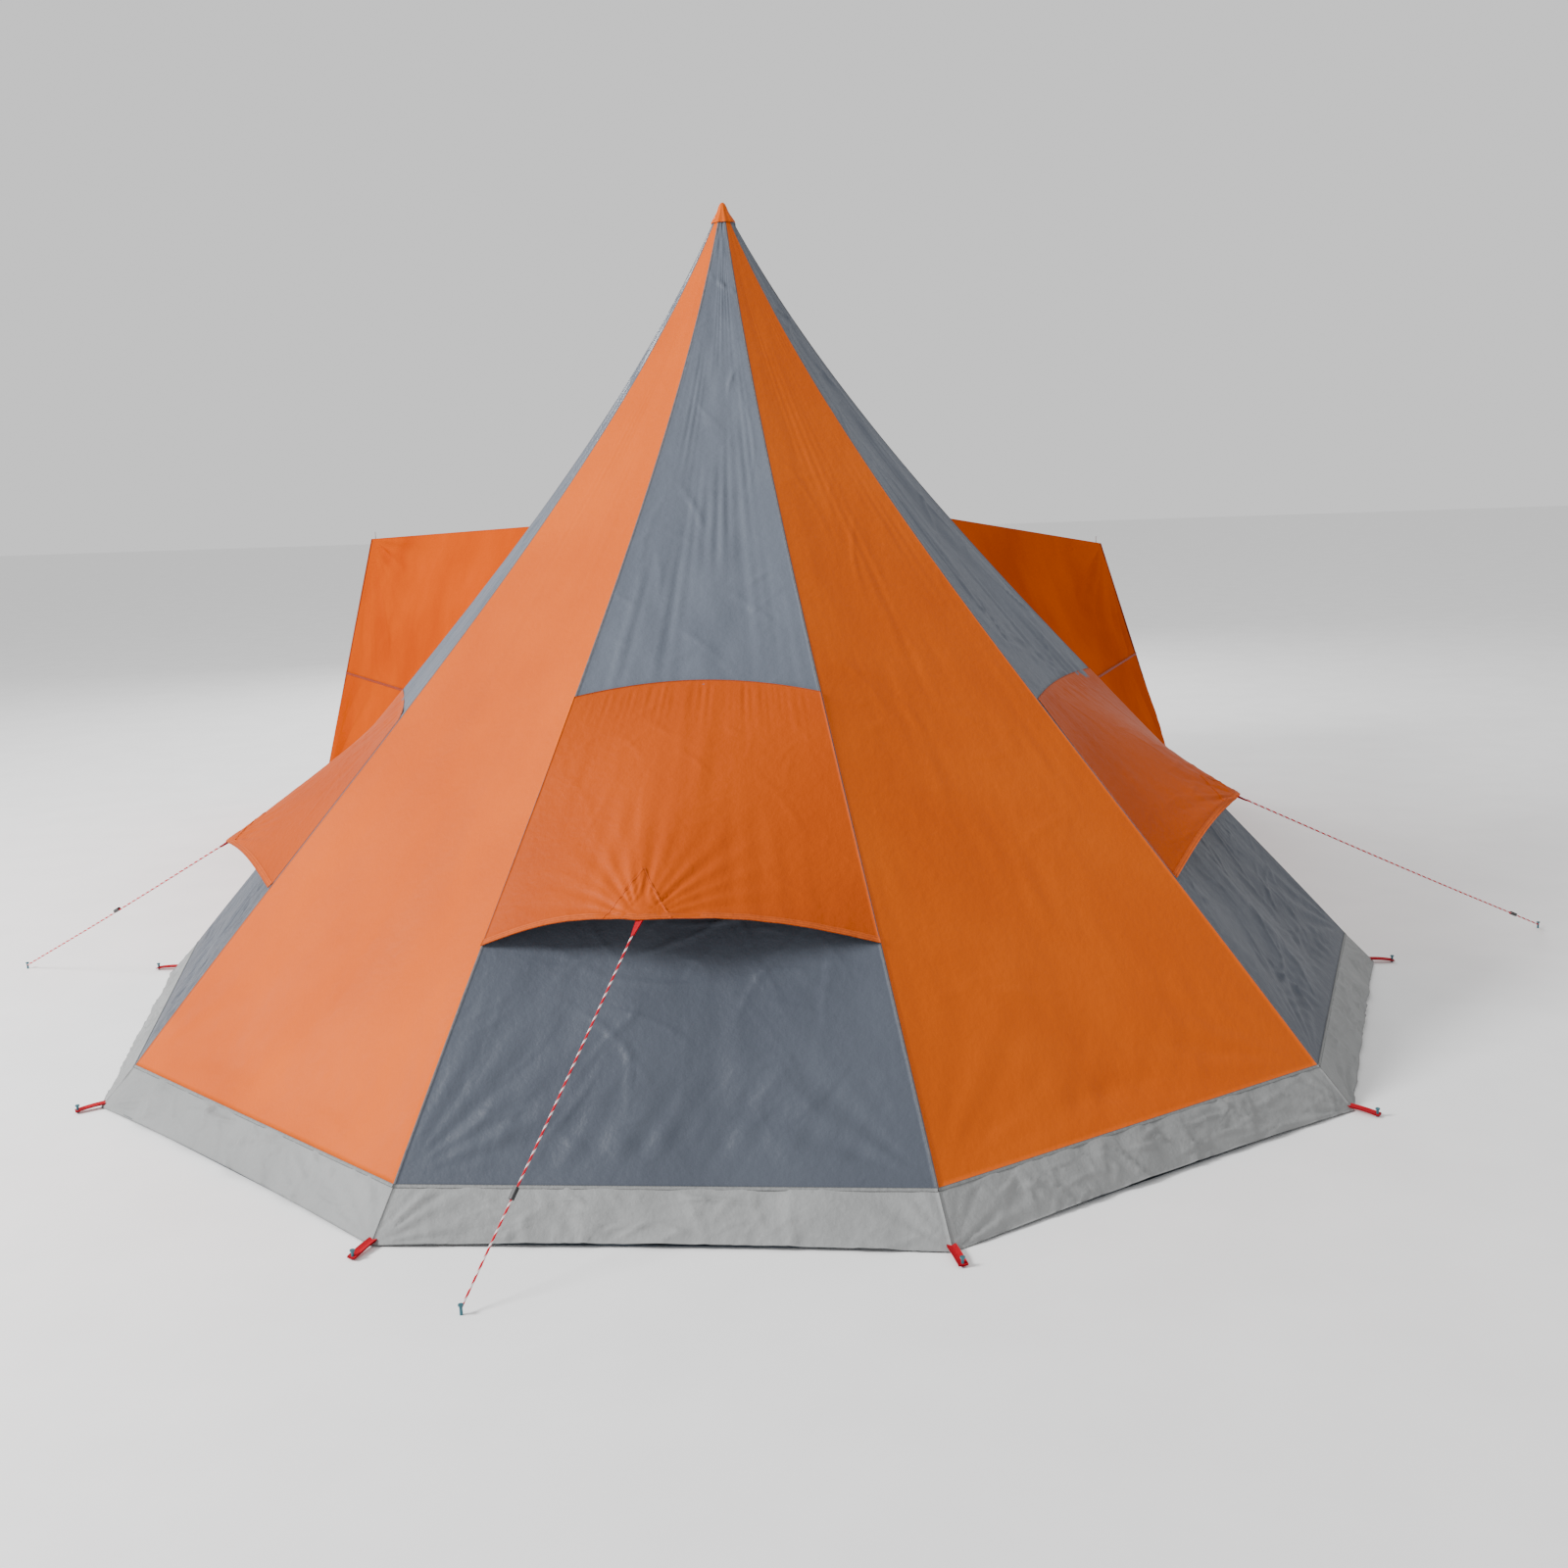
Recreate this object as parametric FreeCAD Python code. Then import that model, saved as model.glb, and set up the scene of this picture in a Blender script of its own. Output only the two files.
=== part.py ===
import FreeCAD, Part
import math
import os

# Single-pole family tent on ten gores.  Millimetres, +Z up.  The origin is on the ground
# under the centre pole.  The door and its awning face -Y, the rear vent hood faces +Y.
# Fabric is made as thin plates; gores meet in the radial planes of their seams.

V = FreeCAD.Vector

# --- driving dimensions -------------------------------------------------------------
STAKE_RADIUS = 2500.0            # centre to the corner pegs' side of the skirt
PEAK_HEIGHT = 3000.0             # ground to the tip of the apex cap
GORE_COUNT = 10
GORE_ANGLE = 360.0 / GORE_COUNT
CLOTH = 3.0                      # horizontal thickness of a fabric stand-in
SKIRT_HEIGHT = 124.0
SEAM_FOOT_RADIUS = 2377.0        # seam radius at the top of the skirt
SEAM_SAG = 0.397                 # how far a seam hangs inside a straight line
SEAM_SAG_LOW = -0.307            # how much less it hangs lower down
GORE_TOP = 2940.0
VENT_BOTTOM = 650.0
VENT_TOPS = {"rear": 1300.0, "left": 1185.0, "right": 1205.0}
DOOR_TOP = 1500.0
DOOR_GAP = 4.0
AWNING_LINE = 1825.0             # height at which the awning is sewn to the gores
BEND_HEIGHTS = [AWNING_LINE, 2300.0, 2725.0]

# vent hoods: seat angle of the gore, tip radius, tip height, tip's sideways shift
HOODS = {
    "rear": (0.0, 1928.0, 762.0, 88.0),
    "left": (72.0, 2000.0, 700.0, 0.0),
    "right": (-72.0, 1925.0, 810.0, 0.0),
}
HOOD_STANDOFF = 4.5
GUY_PEGS = {"rear": (425.0, 2700.0), "left": (3175.0, -25.0), "right": (-3300.0, -450.0)}
GUY_DIAMETER = 6.0
GUY_LOOP_LENGTH = 40.0
HOOD_TIP_GAP = 8.0
ROPE_OVERLAP = 6.0               # rope sewn into its webbing loop
ROPE_DOWN = 8.0                  # rope below the top of its peg
RUNNER_PLACE = {"rear": 0.72, "left": 0.50, "right": 0.90}
RUNNER_LENGTH = 34.0
RUNNER_SIDE = 13.0
RUNNER_ROUND = 3.0
RUNNER_HOLE = 3.6                # radius

AWNING_REACH = 3625.0            # centre pole to the awning's front edge
AWNING_SHIFT = 475.0             # the awning is pitched this far to the +X side
AWNING_TIP_HALF = 2310.0
AWNING_FOOT_HALF = 2800.0
AWNING_TIP_HEIGHTS = {1: 1700.0, -1: 1530.0}   # by side, +X and -X; the poles are set apart
WING_SEAM_AT_TENT = 925.0
WING_SEAM_AT_TIP = 840.0
AWNING_CLEAR = 5.0

POLE_RADIUS = 14.0
POLE_WALL = 1.2
POLE_FIT = 0.05
POLE_JOINTS = [1000.0, 1980.0]
POLE_TOP = 2955.0
PLUG_HEIGHT = 18.0
PLUG_STEM = 40.0
CAP_BOTTOM = 2925.0
CAP_NECK = 15.0
CAP_TIP = 6.0
SPIGOT_LENGTH = 60.0
FOOT_RADIUS = 30.0
FOOT_TOP = 12.0
SHEET = 1.5                      # groundsheet thickness
AWNING_POLE_RADIUS = 9.5
AWNING_POLE_JOINT = 800.0
AWNING_POLE_INSET = V(30.0, 12.0, 0)
AWNING_CLOTH = 2.5
WING_DROP = 9.0
SPIKE_RADIUS = 3.0
SPIKE_HEIGHT = 50.0
SPIKE_HEAD = 8.0
SPIKE_STEM = 30.0
ROOF_DROP = 6.0                  # the spike's head below the awning's tip
FOOT_CAP = 14.0
FOOT_CAP_WALL = 2.5
FOOT_STEM = 25.0
CENTRE_FOOT_STEM = 30.0
FOOT_ROUND = 3.0
PLUG_ROUND = 6.0

WEBBING = 26.0                   # width of the red webbing
WEBBING_THICK = 2.0
LOOP_LENGTH = 75.0
PEG_RADIUS = 4.0
PEG_HEAD_HEIGHT = 24.0

ZIP_TAPE = 14.0                  # width of the tape on each leaf
ZIP_THICK = 1.5
ZIP_END = 40.0                   # lower end of the tape to the middle of the closed slider
ZIP_LIFT = 0.4                   # tape above the leaf
LEAF_EDGE = 2.0                  # leaf to the middle of the zip
TAPE_EDGE = 0.6                  # tape to the middle of the zip
SLIDER_LIFT = 1.2                # slider above the tapes
SLIDER = V(13.0, 24.0, 6.0)
SLIDER_ROUND = 2.0
GROOVE = V(3.0, 9.0, 5.0)        # room in the slider for the puller's eye
GROOVE_FLOOR = 1.6
PIN_RADIUS = 0.9
PIN_AT = V(0, -10.0, 4.6)        # the puller's axis, from the middle of the slider's base
EYE_RADIUS = 2.6
EYE_WIDTH = 2.4
EYE_HOLE = 0.96
PULLER_ARM = V(2.4, 10.0, 1.6)
PULLER_TAB = V(9.0, 34.0, 2.4)
PULLER_ROUND = 3.0


# --- shared shapes ------------------------------------------------------------------
def ray(angle):
    """Horizontal direction at an angle from the rear axis, positive towards +X."""
    a = math.radians(angle)
    return V(math.sin(a), math.cos(a), 0)


def seam_curve(z):
    """Radius of the hanging seam line at height z."""
    t = (PEAK_HEIGHT - z) / (PEAK_HEIGHT - SKIRT_HEIGHT)
    sag = SEAM_SAG * (1 - t) + SEAM_SAG_LOW * (1 - t) * t
    return SEAM_FOOT_RADIUS * t * (1 - sag)


def seam_radius(z):
    """Radius of the seam as built: straight from the skirt up to the awning line."""
    if z >= AWNING_LINE:
        return seam_curve(z)
    share = (z - SKIRT_HEIGHT) / (AWNING_LINE - SKIRT_HEIGHT)
    return SEAM_FOOT_RADIUS + share * (seam_curve(AWNING_LINE) - SEAM_FOOT_RADIUS)


def seam_point(angle, z, out=0.0):
    return ray(angle) * (seam_radius(z) + out) + V(0, 0, z)


def face(points):
    return Part.Face(Part.makePolygon(points + [points[0]]))


def closed(faces):
    shell = Part.makeShell(faces)
    shell.sewShape()
    solid = Part.makeSolid(shell)
    if solid.Volume < 0:
        solid.reverse()
    return solid


def plate(points, push):
    return face(points).extrude(push)


def joined(solids):
    result = solids[0].fuse(solids[1:]) if len(solids) > 1 else solids[0]
    return result.removeSplitter()


def strip(first, last, levels):
    """Thin wall between two radial planes; levels are (radius, height), low to high."""
    def ring(angle, inset):
        return [ray(angle) * (radius - inset) + V(0, 0, z) for radius, z in levels]
    corners = {(a, i): ring(a, i) for a in (first, last) for i in (0.0, CLOTH)}
    faces = []
    for inset in (0.0, CLOTH):
        left = corners[(first, inset)]
        right = corners[(last, inset)]
        for i in range(len(levels) - 1):
            faces.append(face([left[i], right[i], right[i + 1], left[i + 1]]))
    for angle in (first, last):
        faces.append(face(corners[(angle, 0.0)] + corners[(angle, CLOTH)][::-1]))
    for i in (0, -1):
        faces.append(face([corners[(first, 0.0)][i], corners[(last, 0.0)][i],
                           corners[(last, CLOTH)][i], corners[(first, CLOTH)][i]]))
    return closed(faces)


def gore(middle, low, high):
    """Wall of one gore from height low to height high."""
    heights = [low] + [z for z in BEND_HEIGHTS if low < z < high] + [high]
    levels = [(seam_radius(z), z) for z in heights]
    return strip(middle - GORE_ANGLE / 2, middle + GORE_ANGLE / 2, levels)


def rod(start, end, radius):
    along = end - start
    return Part.makeCylinder(radius, along.Length, start, along)


def tube(low, high, radius, centre=V(0, 0, 0)):
    outer = Part.makeCylinder(radius, high - low, centre + V(0, 0, low))
    inner = Part.makeCylinder(radius - POLE_WALL, high - low, centre + V(0, 0, low))
    return outer.cut(inner)


def pole_section(low, high, radius, spigot, centre=V(0, 0, 0)):
    """Tube with a narrower spigot that goes up into the next section."""
    section = tube(low, high, radius, centre)
    if not spigot:
        return section
    narrow = radius - POLE_WALL - POLE_FIT
    neck = tube(high - SPIGOT_LENGTH, high + SPIGOT_LENGTH, narrow, centre)
    collar = Part.makeCylinder(radius, 6.0, centre + V(0, 0, high - SPIGOT_LENGTH))
    bore = Part.makeCylinder(narrow - POLE_WALL, 6.0, centre + V(0, 0, high - SPIGOT_LENGTH))
    return joined([section, neck, collar.cut(bore)])


def save(name, shape):
    shape.exportStep("parts/" + name + ".step")


# --- walls --------------------------------------------------------------------------
def make_walls():
    for side in HOODS:
        middle = HOODS[side][0]
        save(side + "_lower_wall", gore(middle, SKIRT_HEIGHT, VENT_BOTTOM))
        save(side + "_vent_mesh", gore(middle, VENT_BOTTOM, VENT_TOPS[side]))
        save(side + "_upper_panel", gore(middle, VENT_TOPS[side], GORE_TOP))
    plain = {"orange_gore_rear": 36.0, "orange_gore_side": 108.0, "grey_gore_front": 144.0}
    for name, angle in plain.items():
        save(name + "_left", gore(angle, SKIRT_HEIGHT, GORE_TOP))
        save(name + "_right", gore(-angle, SKIRT_HEIGHT, GORE_TOP))
    save("door_header", gore(180.0, DOOR_TOP, GORE_TOP))


def make_hood(side):
    """Three sewn triangles from the vent's top corners and sides out to the guyed tip."""
    middle = HOODS[side][0]
    out = ray(middle)
    lift = out * HOOD_STANDOFF
    first, last = middle - GORE_ANGLE / 2, middle + GORE_ANGLE / 2
    high = VENT_TOPS[side]
    top = [seam_point(first, high) + lift, seam_point(last, high) + lift]
    low = [seam_point(first, VENT_BOTTOM) + lift, seam_point(last, VENT_BOTTOM) + lift]
    tip = hood_tip(side)
    push = out * -CLOTH
    cloth = [plate([top[0], top[1], tip], push), plate([top[0], tip, low[0]], push),
             plate([top[1], low[1], tip], push)]
    save(side + "_vent_hood", joined(cloth))


def hood_tip(side):
    middle, tip_radius, tip_height, shift = HOODS[side]
    return ray(middle) * tip_radius + ray(middle + 90.0) * shift + V(0, 0, tip_height)


def make_apex_cap():
    """Sewn cone over the top of the gores, closed over the pole's plug."""
    low, room_top = CAP_BOTTOM, POLE_TOP + PLUG_HEIGHT + 1.0
    mouth = seam_curve(low) + 2.0
    outer = Part.makeCone(mouth + CLOTH, CAP_NECK + CLOTH, room_top - low, V(0, 0, low))
    tip = Part.makeCone(CAP_NECK + CLOTH, CAP_TIP, PEAK_HEIGHT - room_top, V(0, 0, room_top))
    room = Part.makeCone(mouth, CAP_NECK, room_top - low, V(0, 0, low))
    save("apex_cap", joined([outer.cut(room), tip]))


def make_skirt():
    panels = []
    for i in range(GORE_COUNT):
        middle = i * GORE_ANGLE
        levels = [(STAKE_RADIUS, 0.0), (SEAM_FOOT_RADIUS, SKIRT_HEIGHT)]
        panels.append(strip(middle - GORE_ANGLE / 2, middle + GORE_ANGLE / 2, levels))
    save("mud_skirt", Part.makeCompound(panels))
    corners = [ray((i + 0.5) * GORE_ANGLE) * (STAKE_RADIUS - 12.0) for i in range(GORE_COUNT)]
    save("groundsheet", plate(corners, V(0, 0, SHEET)))


# --- door ---------------------------------------------------------------------------
def door_point(x, z, out=0.0):
    """Point on the flat door plane; x is measured from the zip."""
    return V(x, -seam_radius(z) * math.cos(math.radians(GORE_ANGLE / 2)) - out, z)


def hinge_x(z):
    return seam_radius(z) * math.sin(math.radians(GORE_ANGLE / 2))


def slider_shape():
    """Slider body: +Y up the zip, +Z out of the door, the puller's pin across its groove."""
    body = Part.makeBox(SLIDER.x, SLIDER.y, SLIDER.z, V(-SLIDER.x / 2, -SLIDER.y / 2, 0))
    body = body.makeFillet(SLIDER_ROUND, [e for e in body.Edges if e.Length < SLIDER.z + 1])
    corner = V(-GROOVE.x / 2, -SLIDER.y / 2 - 1, GROOVE_FLOOR)
    groove = Part.makeBox(GROOVE.x, GROOVE.y, GROOVE.z, corner)
    pin = Part.makeCylinder(PIN_RADIUS, GROOVE.x, PIN_AT - V(GROOVE.x / 2, 0, 0), V(1, 0, 0))
    return joined([body.cut(groove), pin])


def puller_shape():
    """Puller that hangs below its eye, in the slider's own frame."""
    eye = Part.makeCylinder(EYE_RADIUS, EYE_WIDTH, PIN_AT - V(EYE_WIDTH / 2, 0, 0), V(1, 0, 0))
    arm_end = PIN_AT.y - 1 - PULLER_ARM.y
    arm = Part.makeBox(PULLER_ARM.x, PULLER_ARM.y, PULLER_ARM.z,
                       V(-PULLER_ARM.x / 2, arm_end, PIN_AT.z - PULLER_ARM.z / 2))
    tab = Part.makeBox(PULLER_TAB.x, PULLER_TAB.y, PULLER_TAB.z,
                       V(-PULLER_TAB.x / 2, arm_end + 2 - PULLER_TAB.y,
                         PIN_AT.z - PULLER_TAB.z / 2))
    corners = [e for e in tab.Edges if e.Length < PULLER_TAB.z + 0.1]
    tab = tab.makeFillet(PULLER_ROUND, corners)
    hole = Part.makeCylinder(EYE_HOLE, EYE_WIDTH + 2, PIN_AT - V(EYE_WIDTH / 2 + 1, 0, 0),
                             V(1, 0, 0))
    return joined([eye, arm, tab]).cut(hole)


def make_door():
    low, high = SKIRT_HEIGHT + DOOR_GAP, DOOR_TOP - DOOR_GAP
    for side, s in (("left", 1), ("right", -1)):
        outline = [door_point(s * LEAF_EDGE, low),
                   door_point(s * (hinge_x(low) - DOOR_GAP), low),
                   door_point(s * (hinge_x(high) - DOOR_GAP), high),
                   door_point(s * LEAF_EDGE, high)]
        save("door_leaf_" + side, plate(outline, V(0, CLOTH, 0)))
        edge = [door_point(s * TAPE_EDGE, low, ZIP_LIFT),
                door_point(s * ZIP_TAPE, low, ZIP_LIFT),
                door_point(s * ZIP_TAPE, high, ZIP_LIFT),
                door_point(s * TAPE_EDGE, high, ZIP_LIFT)]
        save("zip_tape_" + side, plate(edge, V(0, -ZIP_THICK, 0)))
    start = door_point(0, low + ZIP_END)
    along = (door_point(0, high) - door_point(0, low)).normalize()
    normal = V(1, 0, 0).cross(along)
    base = start + normal * (ZIP_LIFT + ZIP_THICK + SLIDER_LIFT)
    turn = FreeCAD.Rotation(V(1, 0, 0), along, normal, "XYZ")
    place = FreeCAD.Placement(base, turn)
    for name, shape in (("zip_slider", slider_shape()), ("zip_puller", puller_shape())):
        shape.Placement = place
        save(name, shape)
    print("zip along", along, "puller axis at", place.multVec(PIN_AT))
    for s in (1, -1):
        a = door_point(s * hinge_x(low), low)
        b = door_point(s * hinge_x(high), high)
        print("door hinge", s, a, (b - a).normalize())


# --- poles --------------------------------------------------------------------------
def make_poles():
    first, second = POLE_JOINTS
    save("centre_pole_lower", pole_section(FOOT_TOP, first, POLE_RADIUS, True))
    save("centre_pole_middle", pole_section(first, second, POLE_RADIUS, True))
    save("centre_pole_upper", pole_section(second, POLE_TOP, POLE_RADIUS, False))
    inside = POLE_RADIUS - POLE_WALL - POLE_FIT
    disc = Part.makeCylinder(FOOT_RADIUS, FOOT_TOP - SHEET, V(0, 0, SHEET))
    disc = disc.makeFillet(FOOT_ROUND, [disc.Edges[0]])
    stem = Part.makeCylinder(inside, CENTRE_FOOT_STEM, V(0, 0, FOOT_TOP))
    save("centre_pole_foot", joined([disc, stem]))
    knob = Part.makeCylinder(POLE_RADIUS, PLUG_HEIGHT, V(0, 0, POLE_TOP))
    knob = knob.makeFillet(PLUG_ROUND, [knob.Edges[0]])
    stem = Part.makeCylinder(inside, PLUG_STEM, V(0, 0, POLE_TOP - PLUG_STEM))
    save("centre_pole_plug", joined([knob, stem]))


def awning_tip(s):
    return V(AWNING_SHIFT + s * AWNING_TIP_HALF, -AWNING_REACH, AWNING_TIP_HEIGHTS[s])


def make_awning_poles():
    spikes, feet = [], []
    for side, s in (("left", 1), ("right", -1)):
        tip = awning_tip(s)
        centre = V(tip.x - s * AWNING_POLE_INSET.x, tip.y + AWNING_POLE_INSET.y, 0)
        top = AWNING_TIP_HEIGHTS[s] - ROOF_DROP
        save("awning_pole_lower_" + side,
             pole_section(FOOT_CAP, AWNING_POLE_JOINT, AWNING_POLE_RADIUS, True, centre))
        save("awning_pole_upper_" + side,
             pole_section(AWNING_POLE_JOINT, top - SPIKE_HEAD, AWNING_POLE_RADIUS, False, centre))
        inside = AWNING_POLE_RADIUS - POLE_WALL - POLE_FIT
        head = Part.makeCylinder(AWNING_POLE_RADIUS, SPIKE_HEAD,
                                 centre + V(0, 0, top - SPIKE_HEAD))
        stem = Part.makeCylinder(inside, SPIKE_STEM,
                                 centre + V(0, 0, top - SPIKE_HEAD - SPIKE_STEM))
        spike = Part.makeCylinder(SPIKE_RADIUS, SPIKE_HEIGHT, centre + V(0, 0, top))
        spikes.append(joined([head, stem, spike]))
        foot = Part.makeCylinder(AWNING_POLE_RADIUS + FOOT_CAP_WALL, FOOT_CAP, centre)
        stem = Part.makeCylinder(inside, FOOT_STEM, centre + V(0, 0, FOOT_CAP))
        feet.append(joined([foot, stem]))
    save("awning_pole_spikes", Part.makeCompound(spikes))
    save("awning_pole_feet", Part.makeCompound(feet))


# --- awning -------------------------------------------------------------------------
def make_awning():
    edge = [seam_point(angle, AWNING_LINE, AWNING_CLEAR) for angle in (126, 162, 198, 234)]
    left, right = awning_tip(1), awning_tip(-1)
    down = V(0, 0, -AWNING_CLOTH)
    roof = [plate([edge[0], edge[1], left], down), plate([edge[1], edge[2], left], down),
            plate([edge[2], right, left], down), plate([edge[2], edge[3], right], down)]
    save("awning_roof", joined(roof))
    for side, s in (("left", 1), ("right", -1)):
        angle = s * 126.0
        top = seam_point(angle, AWNING_LINE - WING_DROP, AWNING_CLEAR)
        tip = awning_tip(s) - V(0, 0, WING_DROP)
        ground = V(AWNING_SHIFT + s * AWNING_FOOT_HALF, -AWNING_REACH, 0)
        share = (AWNING_TIP_HEIGHTS[s] - WING_SEAM_AT_TIP) / AWNING_TIP_HEIGHTS[s]
        outer = awning_tip(s) * (1 - share) + ground * share
        inner = seam_point(angle, WING_SEAM_AT_TENT, AWNING_CLEAR)
        corner = ray(angle) * STAKE_RADIUS
        heel = corner + (ground - corner).normalize() * 60.0
        push = V(-s * AWNING_CLOTH, 0, 0)
        save("awning_wing_upper_" + side,
             joined([plate([top, tip, outer], push), plate([top, outer, inner], push)]))
        save("awning_wing_lower_" + side,
             joined([plate([inner, outer, ground], push), plate([inner, ground, heel], push)]))


# --- pegs, loops and guylines -------------------------------------------------------
def peg(x, y):
    """The head of a driven peg; the shaft below the ground is left out."""
    head = Part.makeCylinder(PEG_RADIUS, PEG_HEAD_HEIGHT, V(x, y, 0))
    hook = Part.makeCylinder(PEG_RADIUS * 1.7, 4.0, V(x, y, PEG_HEAD_HEIGHT))
    return joined([head, hook])


def webbing(start, end, width_along):
    """Flat piece of webbing from start to end."""
    side = width_along.normalize() * (WEBBING / 2)
    thick = (end - start).cross(side).normalize() * WEBBING_THICK
    return plate([start - side, start + side, end + side, end - side], thick)


def make_corner_loops():
    loops, pegs = [], []
    for i in range(GORE_COUNT):
        angle = (i + 0.5) * GORE_ANGLE
        start = ray(angle) * (STAKE_RADIUS + 14.0) + V(0, 0, 10.0)
        end = ray(angle) * (STAKE_RADIUS + LOOP_LENGTH) + V(0, 0, 6.0)
        loops.append(webbing(start, end, ray(angle + 90.0)))
        at = ray(angle) * (STAKE_RADIUS + LOOP_LENGTH - 8.0)
        pegs.append(peg(at.x, at.y))
    for s in (1, -1):
        corner = V(AWNING_SHIFT + s * AWNING_FOOT_HALF, -AWNING_REACH, 0)
        away = V(s * 0.8, -0.6, 0)
        loops.append(webbing(corner + away * 12.0 + V(0, 0, 9.0),
                             corner + away * 60.0 + V(0, 0, 6.0), V(0.6, s * 0.8, 0)))
        pegs.append(peg(corner.x + away.x * 52.0, corner.y + away.y * 52.0))
    save("peg_loops", Part.makeCompound(loops))
    save("corner_pegs", Part.makeCompound(pegs))


def guy_ends(side):
    """Start of the webbing at the hood tip, and the two ends of the rope."""
    tip = hood_tip(side)
    x, y = GUY_PEGS[side]
    foot = V(x, y, PEG_HEAD_HEIGHT - ROPE_DOWN)
    along = (foot - tip).normalize()
    start = tip + along * HOOD_TIP_GAP
    return start, start + along * GUY_LOOP_LENGTH, foot, along


def make_guylines():
    loops, pegs = [], []
    for side in HOODS:
        start, rope_start, foot, along = guy_ends(side)
        level = along.cross(V(0, 0, 1))
        loops.append(webbing(start, rope_start, level))
        rope = rod(rope_start - along * ROPE_OVERLAP, foot, GUY_DIAMETER / 2)
        save("guyline_" + side, rope)
        pegs.append(peg(foot.x, foot.y))
        middle = rope_start + (foot - rope_start) * RUNNER_PLACE[side]
        up = level.cross(along).normalize()
        turn = FreeCAD.Rotation(along, level, up, "XYZ")
        block = Part.makeBox(RUNNER_LENGTH, RUNNER_SIDE, RUNNER_SIDE,
                             V(-RUNNER_LENGTH / 2, -RUNNER_SIDE / 2, -RUNNER_SIDE / 2))
        long_edges = [e for e in block.Edges if e.Length > RUNNER_LENGTH - 1]
        block = block.makeFillet(RUNNER_ROUND, long_edges)
        hole = Part.makeCylinder(RUNNER_HOLE, RUNNER_LENGTH * 2, V(-RUNNER_LENGTH, 0, 0),
                                 V(1, 0, 0))
        runner = block.cut(hole)
        runner.Placement = FreeCAD.Placement(middle, turn)
        save("guyline_runner_" + side, runner)
        print("rope", side, rope_start - along * ROPE_OVERLAP, foot, along, "length",
              (foot - rope_start).Length + ROPE_OVERLAP, "runner at", middle)
    save("hood_guy_loops", Part.makeCompound(loops))
    save("guyline_pegs", Part.makeCompound(pegs))


os.makedirs("parts", exist_ok=True)
make_walls()
for hood_side in HOODS:
    make_hood(hood_side)
make_apex_cap()
make_skirt()
make_door()
make_poles()
make_awning_poles()
make_awning()
make_corner_loops()
make_guylines()
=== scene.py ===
import math

import bpy
import numpy as np
from mathutils import Matrix


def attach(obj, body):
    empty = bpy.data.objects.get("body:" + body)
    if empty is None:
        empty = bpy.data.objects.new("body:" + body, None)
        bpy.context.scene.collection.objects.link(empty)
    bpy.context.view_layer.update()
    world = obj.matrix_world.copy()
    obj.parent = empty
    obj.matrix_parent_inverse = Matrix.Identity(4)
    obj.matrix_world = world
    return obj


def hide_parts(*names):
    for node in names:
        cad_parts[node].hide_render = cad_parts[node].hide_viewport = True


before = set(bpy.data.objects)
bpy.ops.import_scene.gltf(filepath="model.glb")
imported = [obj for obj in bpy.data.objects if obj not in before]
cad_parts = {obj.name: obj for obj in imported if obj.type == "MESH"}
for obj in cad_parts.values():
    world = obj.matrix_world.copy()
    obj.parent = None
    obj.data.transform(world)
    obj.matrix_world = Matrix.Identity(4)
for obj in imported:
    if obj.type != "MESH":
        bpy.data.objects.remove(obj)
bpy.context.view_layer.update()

# Single-pole family tent.  Metres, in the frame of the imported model: +Z up, the centre
# pole on the Z axis, the awning towards -Y, the rear vent hood towards +Y.

# --- sizes shared with the design ---------------------------------------------------
STAKE_RADIUS = 2.5
PEAK_HEIGHT = 3.0
GORES = 10
GORE_ANGLE = 360.0 / GORES
HALF = math.radians(GORE_ANGLE / 2)
SKIRT_HEIGHT = 0.124
SEAM_FOOT_RADIUS = 2.377
SEAM_SAG = 0.397
SEAM_SAG_LOW = -0.307
GORE_TOP = 2.965
VENT_BOTTOM = 0.65
VENT_TOPS = {"rear": 1.30, "left": 1.185, "right": 1.205}
VENT_ARCH = {"rear": 0.045, "left": 0.004, "right": 0.018}
WALL_TOP = 0.79                  # top of the lower wall, under the hood
DOOR_TOP = 1.50
AWNING_LINE = 1.825
AWNING_REACH = 3.625
AWNING_SHIFT = 0.475
AWNING_TIP_HALF = 2.31
AWNING_FOOT_HALF = 2.8
AWNING_TIP_HEIGHTS = {1: 1.70, -1: 1.53}
WING_SEAM_AT_TENT = 0.925
WING_SEAM_AT_TIP = 0.84
LOOP_LENGTH = 0.075
WEBBING = 0.026
PANEL_BOW = -0.022                # how far a panel hangs in, as a share of its half width
CLOTH = 0.0012                   # thickness of the cloth as it is shown
HOODS = {
    "rear": (0.0, 1.928, 0.762, 0.088),
    "left": (72.0, 2.0, 0.7, 0.0),
    "right": (-72.0, 1.925, 0.81, 0.0),
}
GUY_PEGS = {"rear": (0.425, 2.7), "left": (3.175, -0.025), "right": (-3.3, -0.45)}
GUY_DIAMETER = 0.006
GUY_LOOP_LENGTH = 0.04
HOOD_STAND_OFF = 0.003           # clearance of a hood's cloth over the seams
HOOD_TIP_GAP = 0.008
PEG_HOLD = 0.016
SKIRT_SLANT = 0.17               # length of the skirt's cloth from its top to the ground
AWNING_ANGLE = 3.5 * GORE_ANGLE  # seam that the awning's sides are sewn to


def unit(v):
    v = np.asarray(v, float)
    return v / np.linalg.norm(v)


def ray(angle):
    a = math.radians(angle)
    return np.array([math.sin(a), math.cos(a), 0.0])


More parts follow.
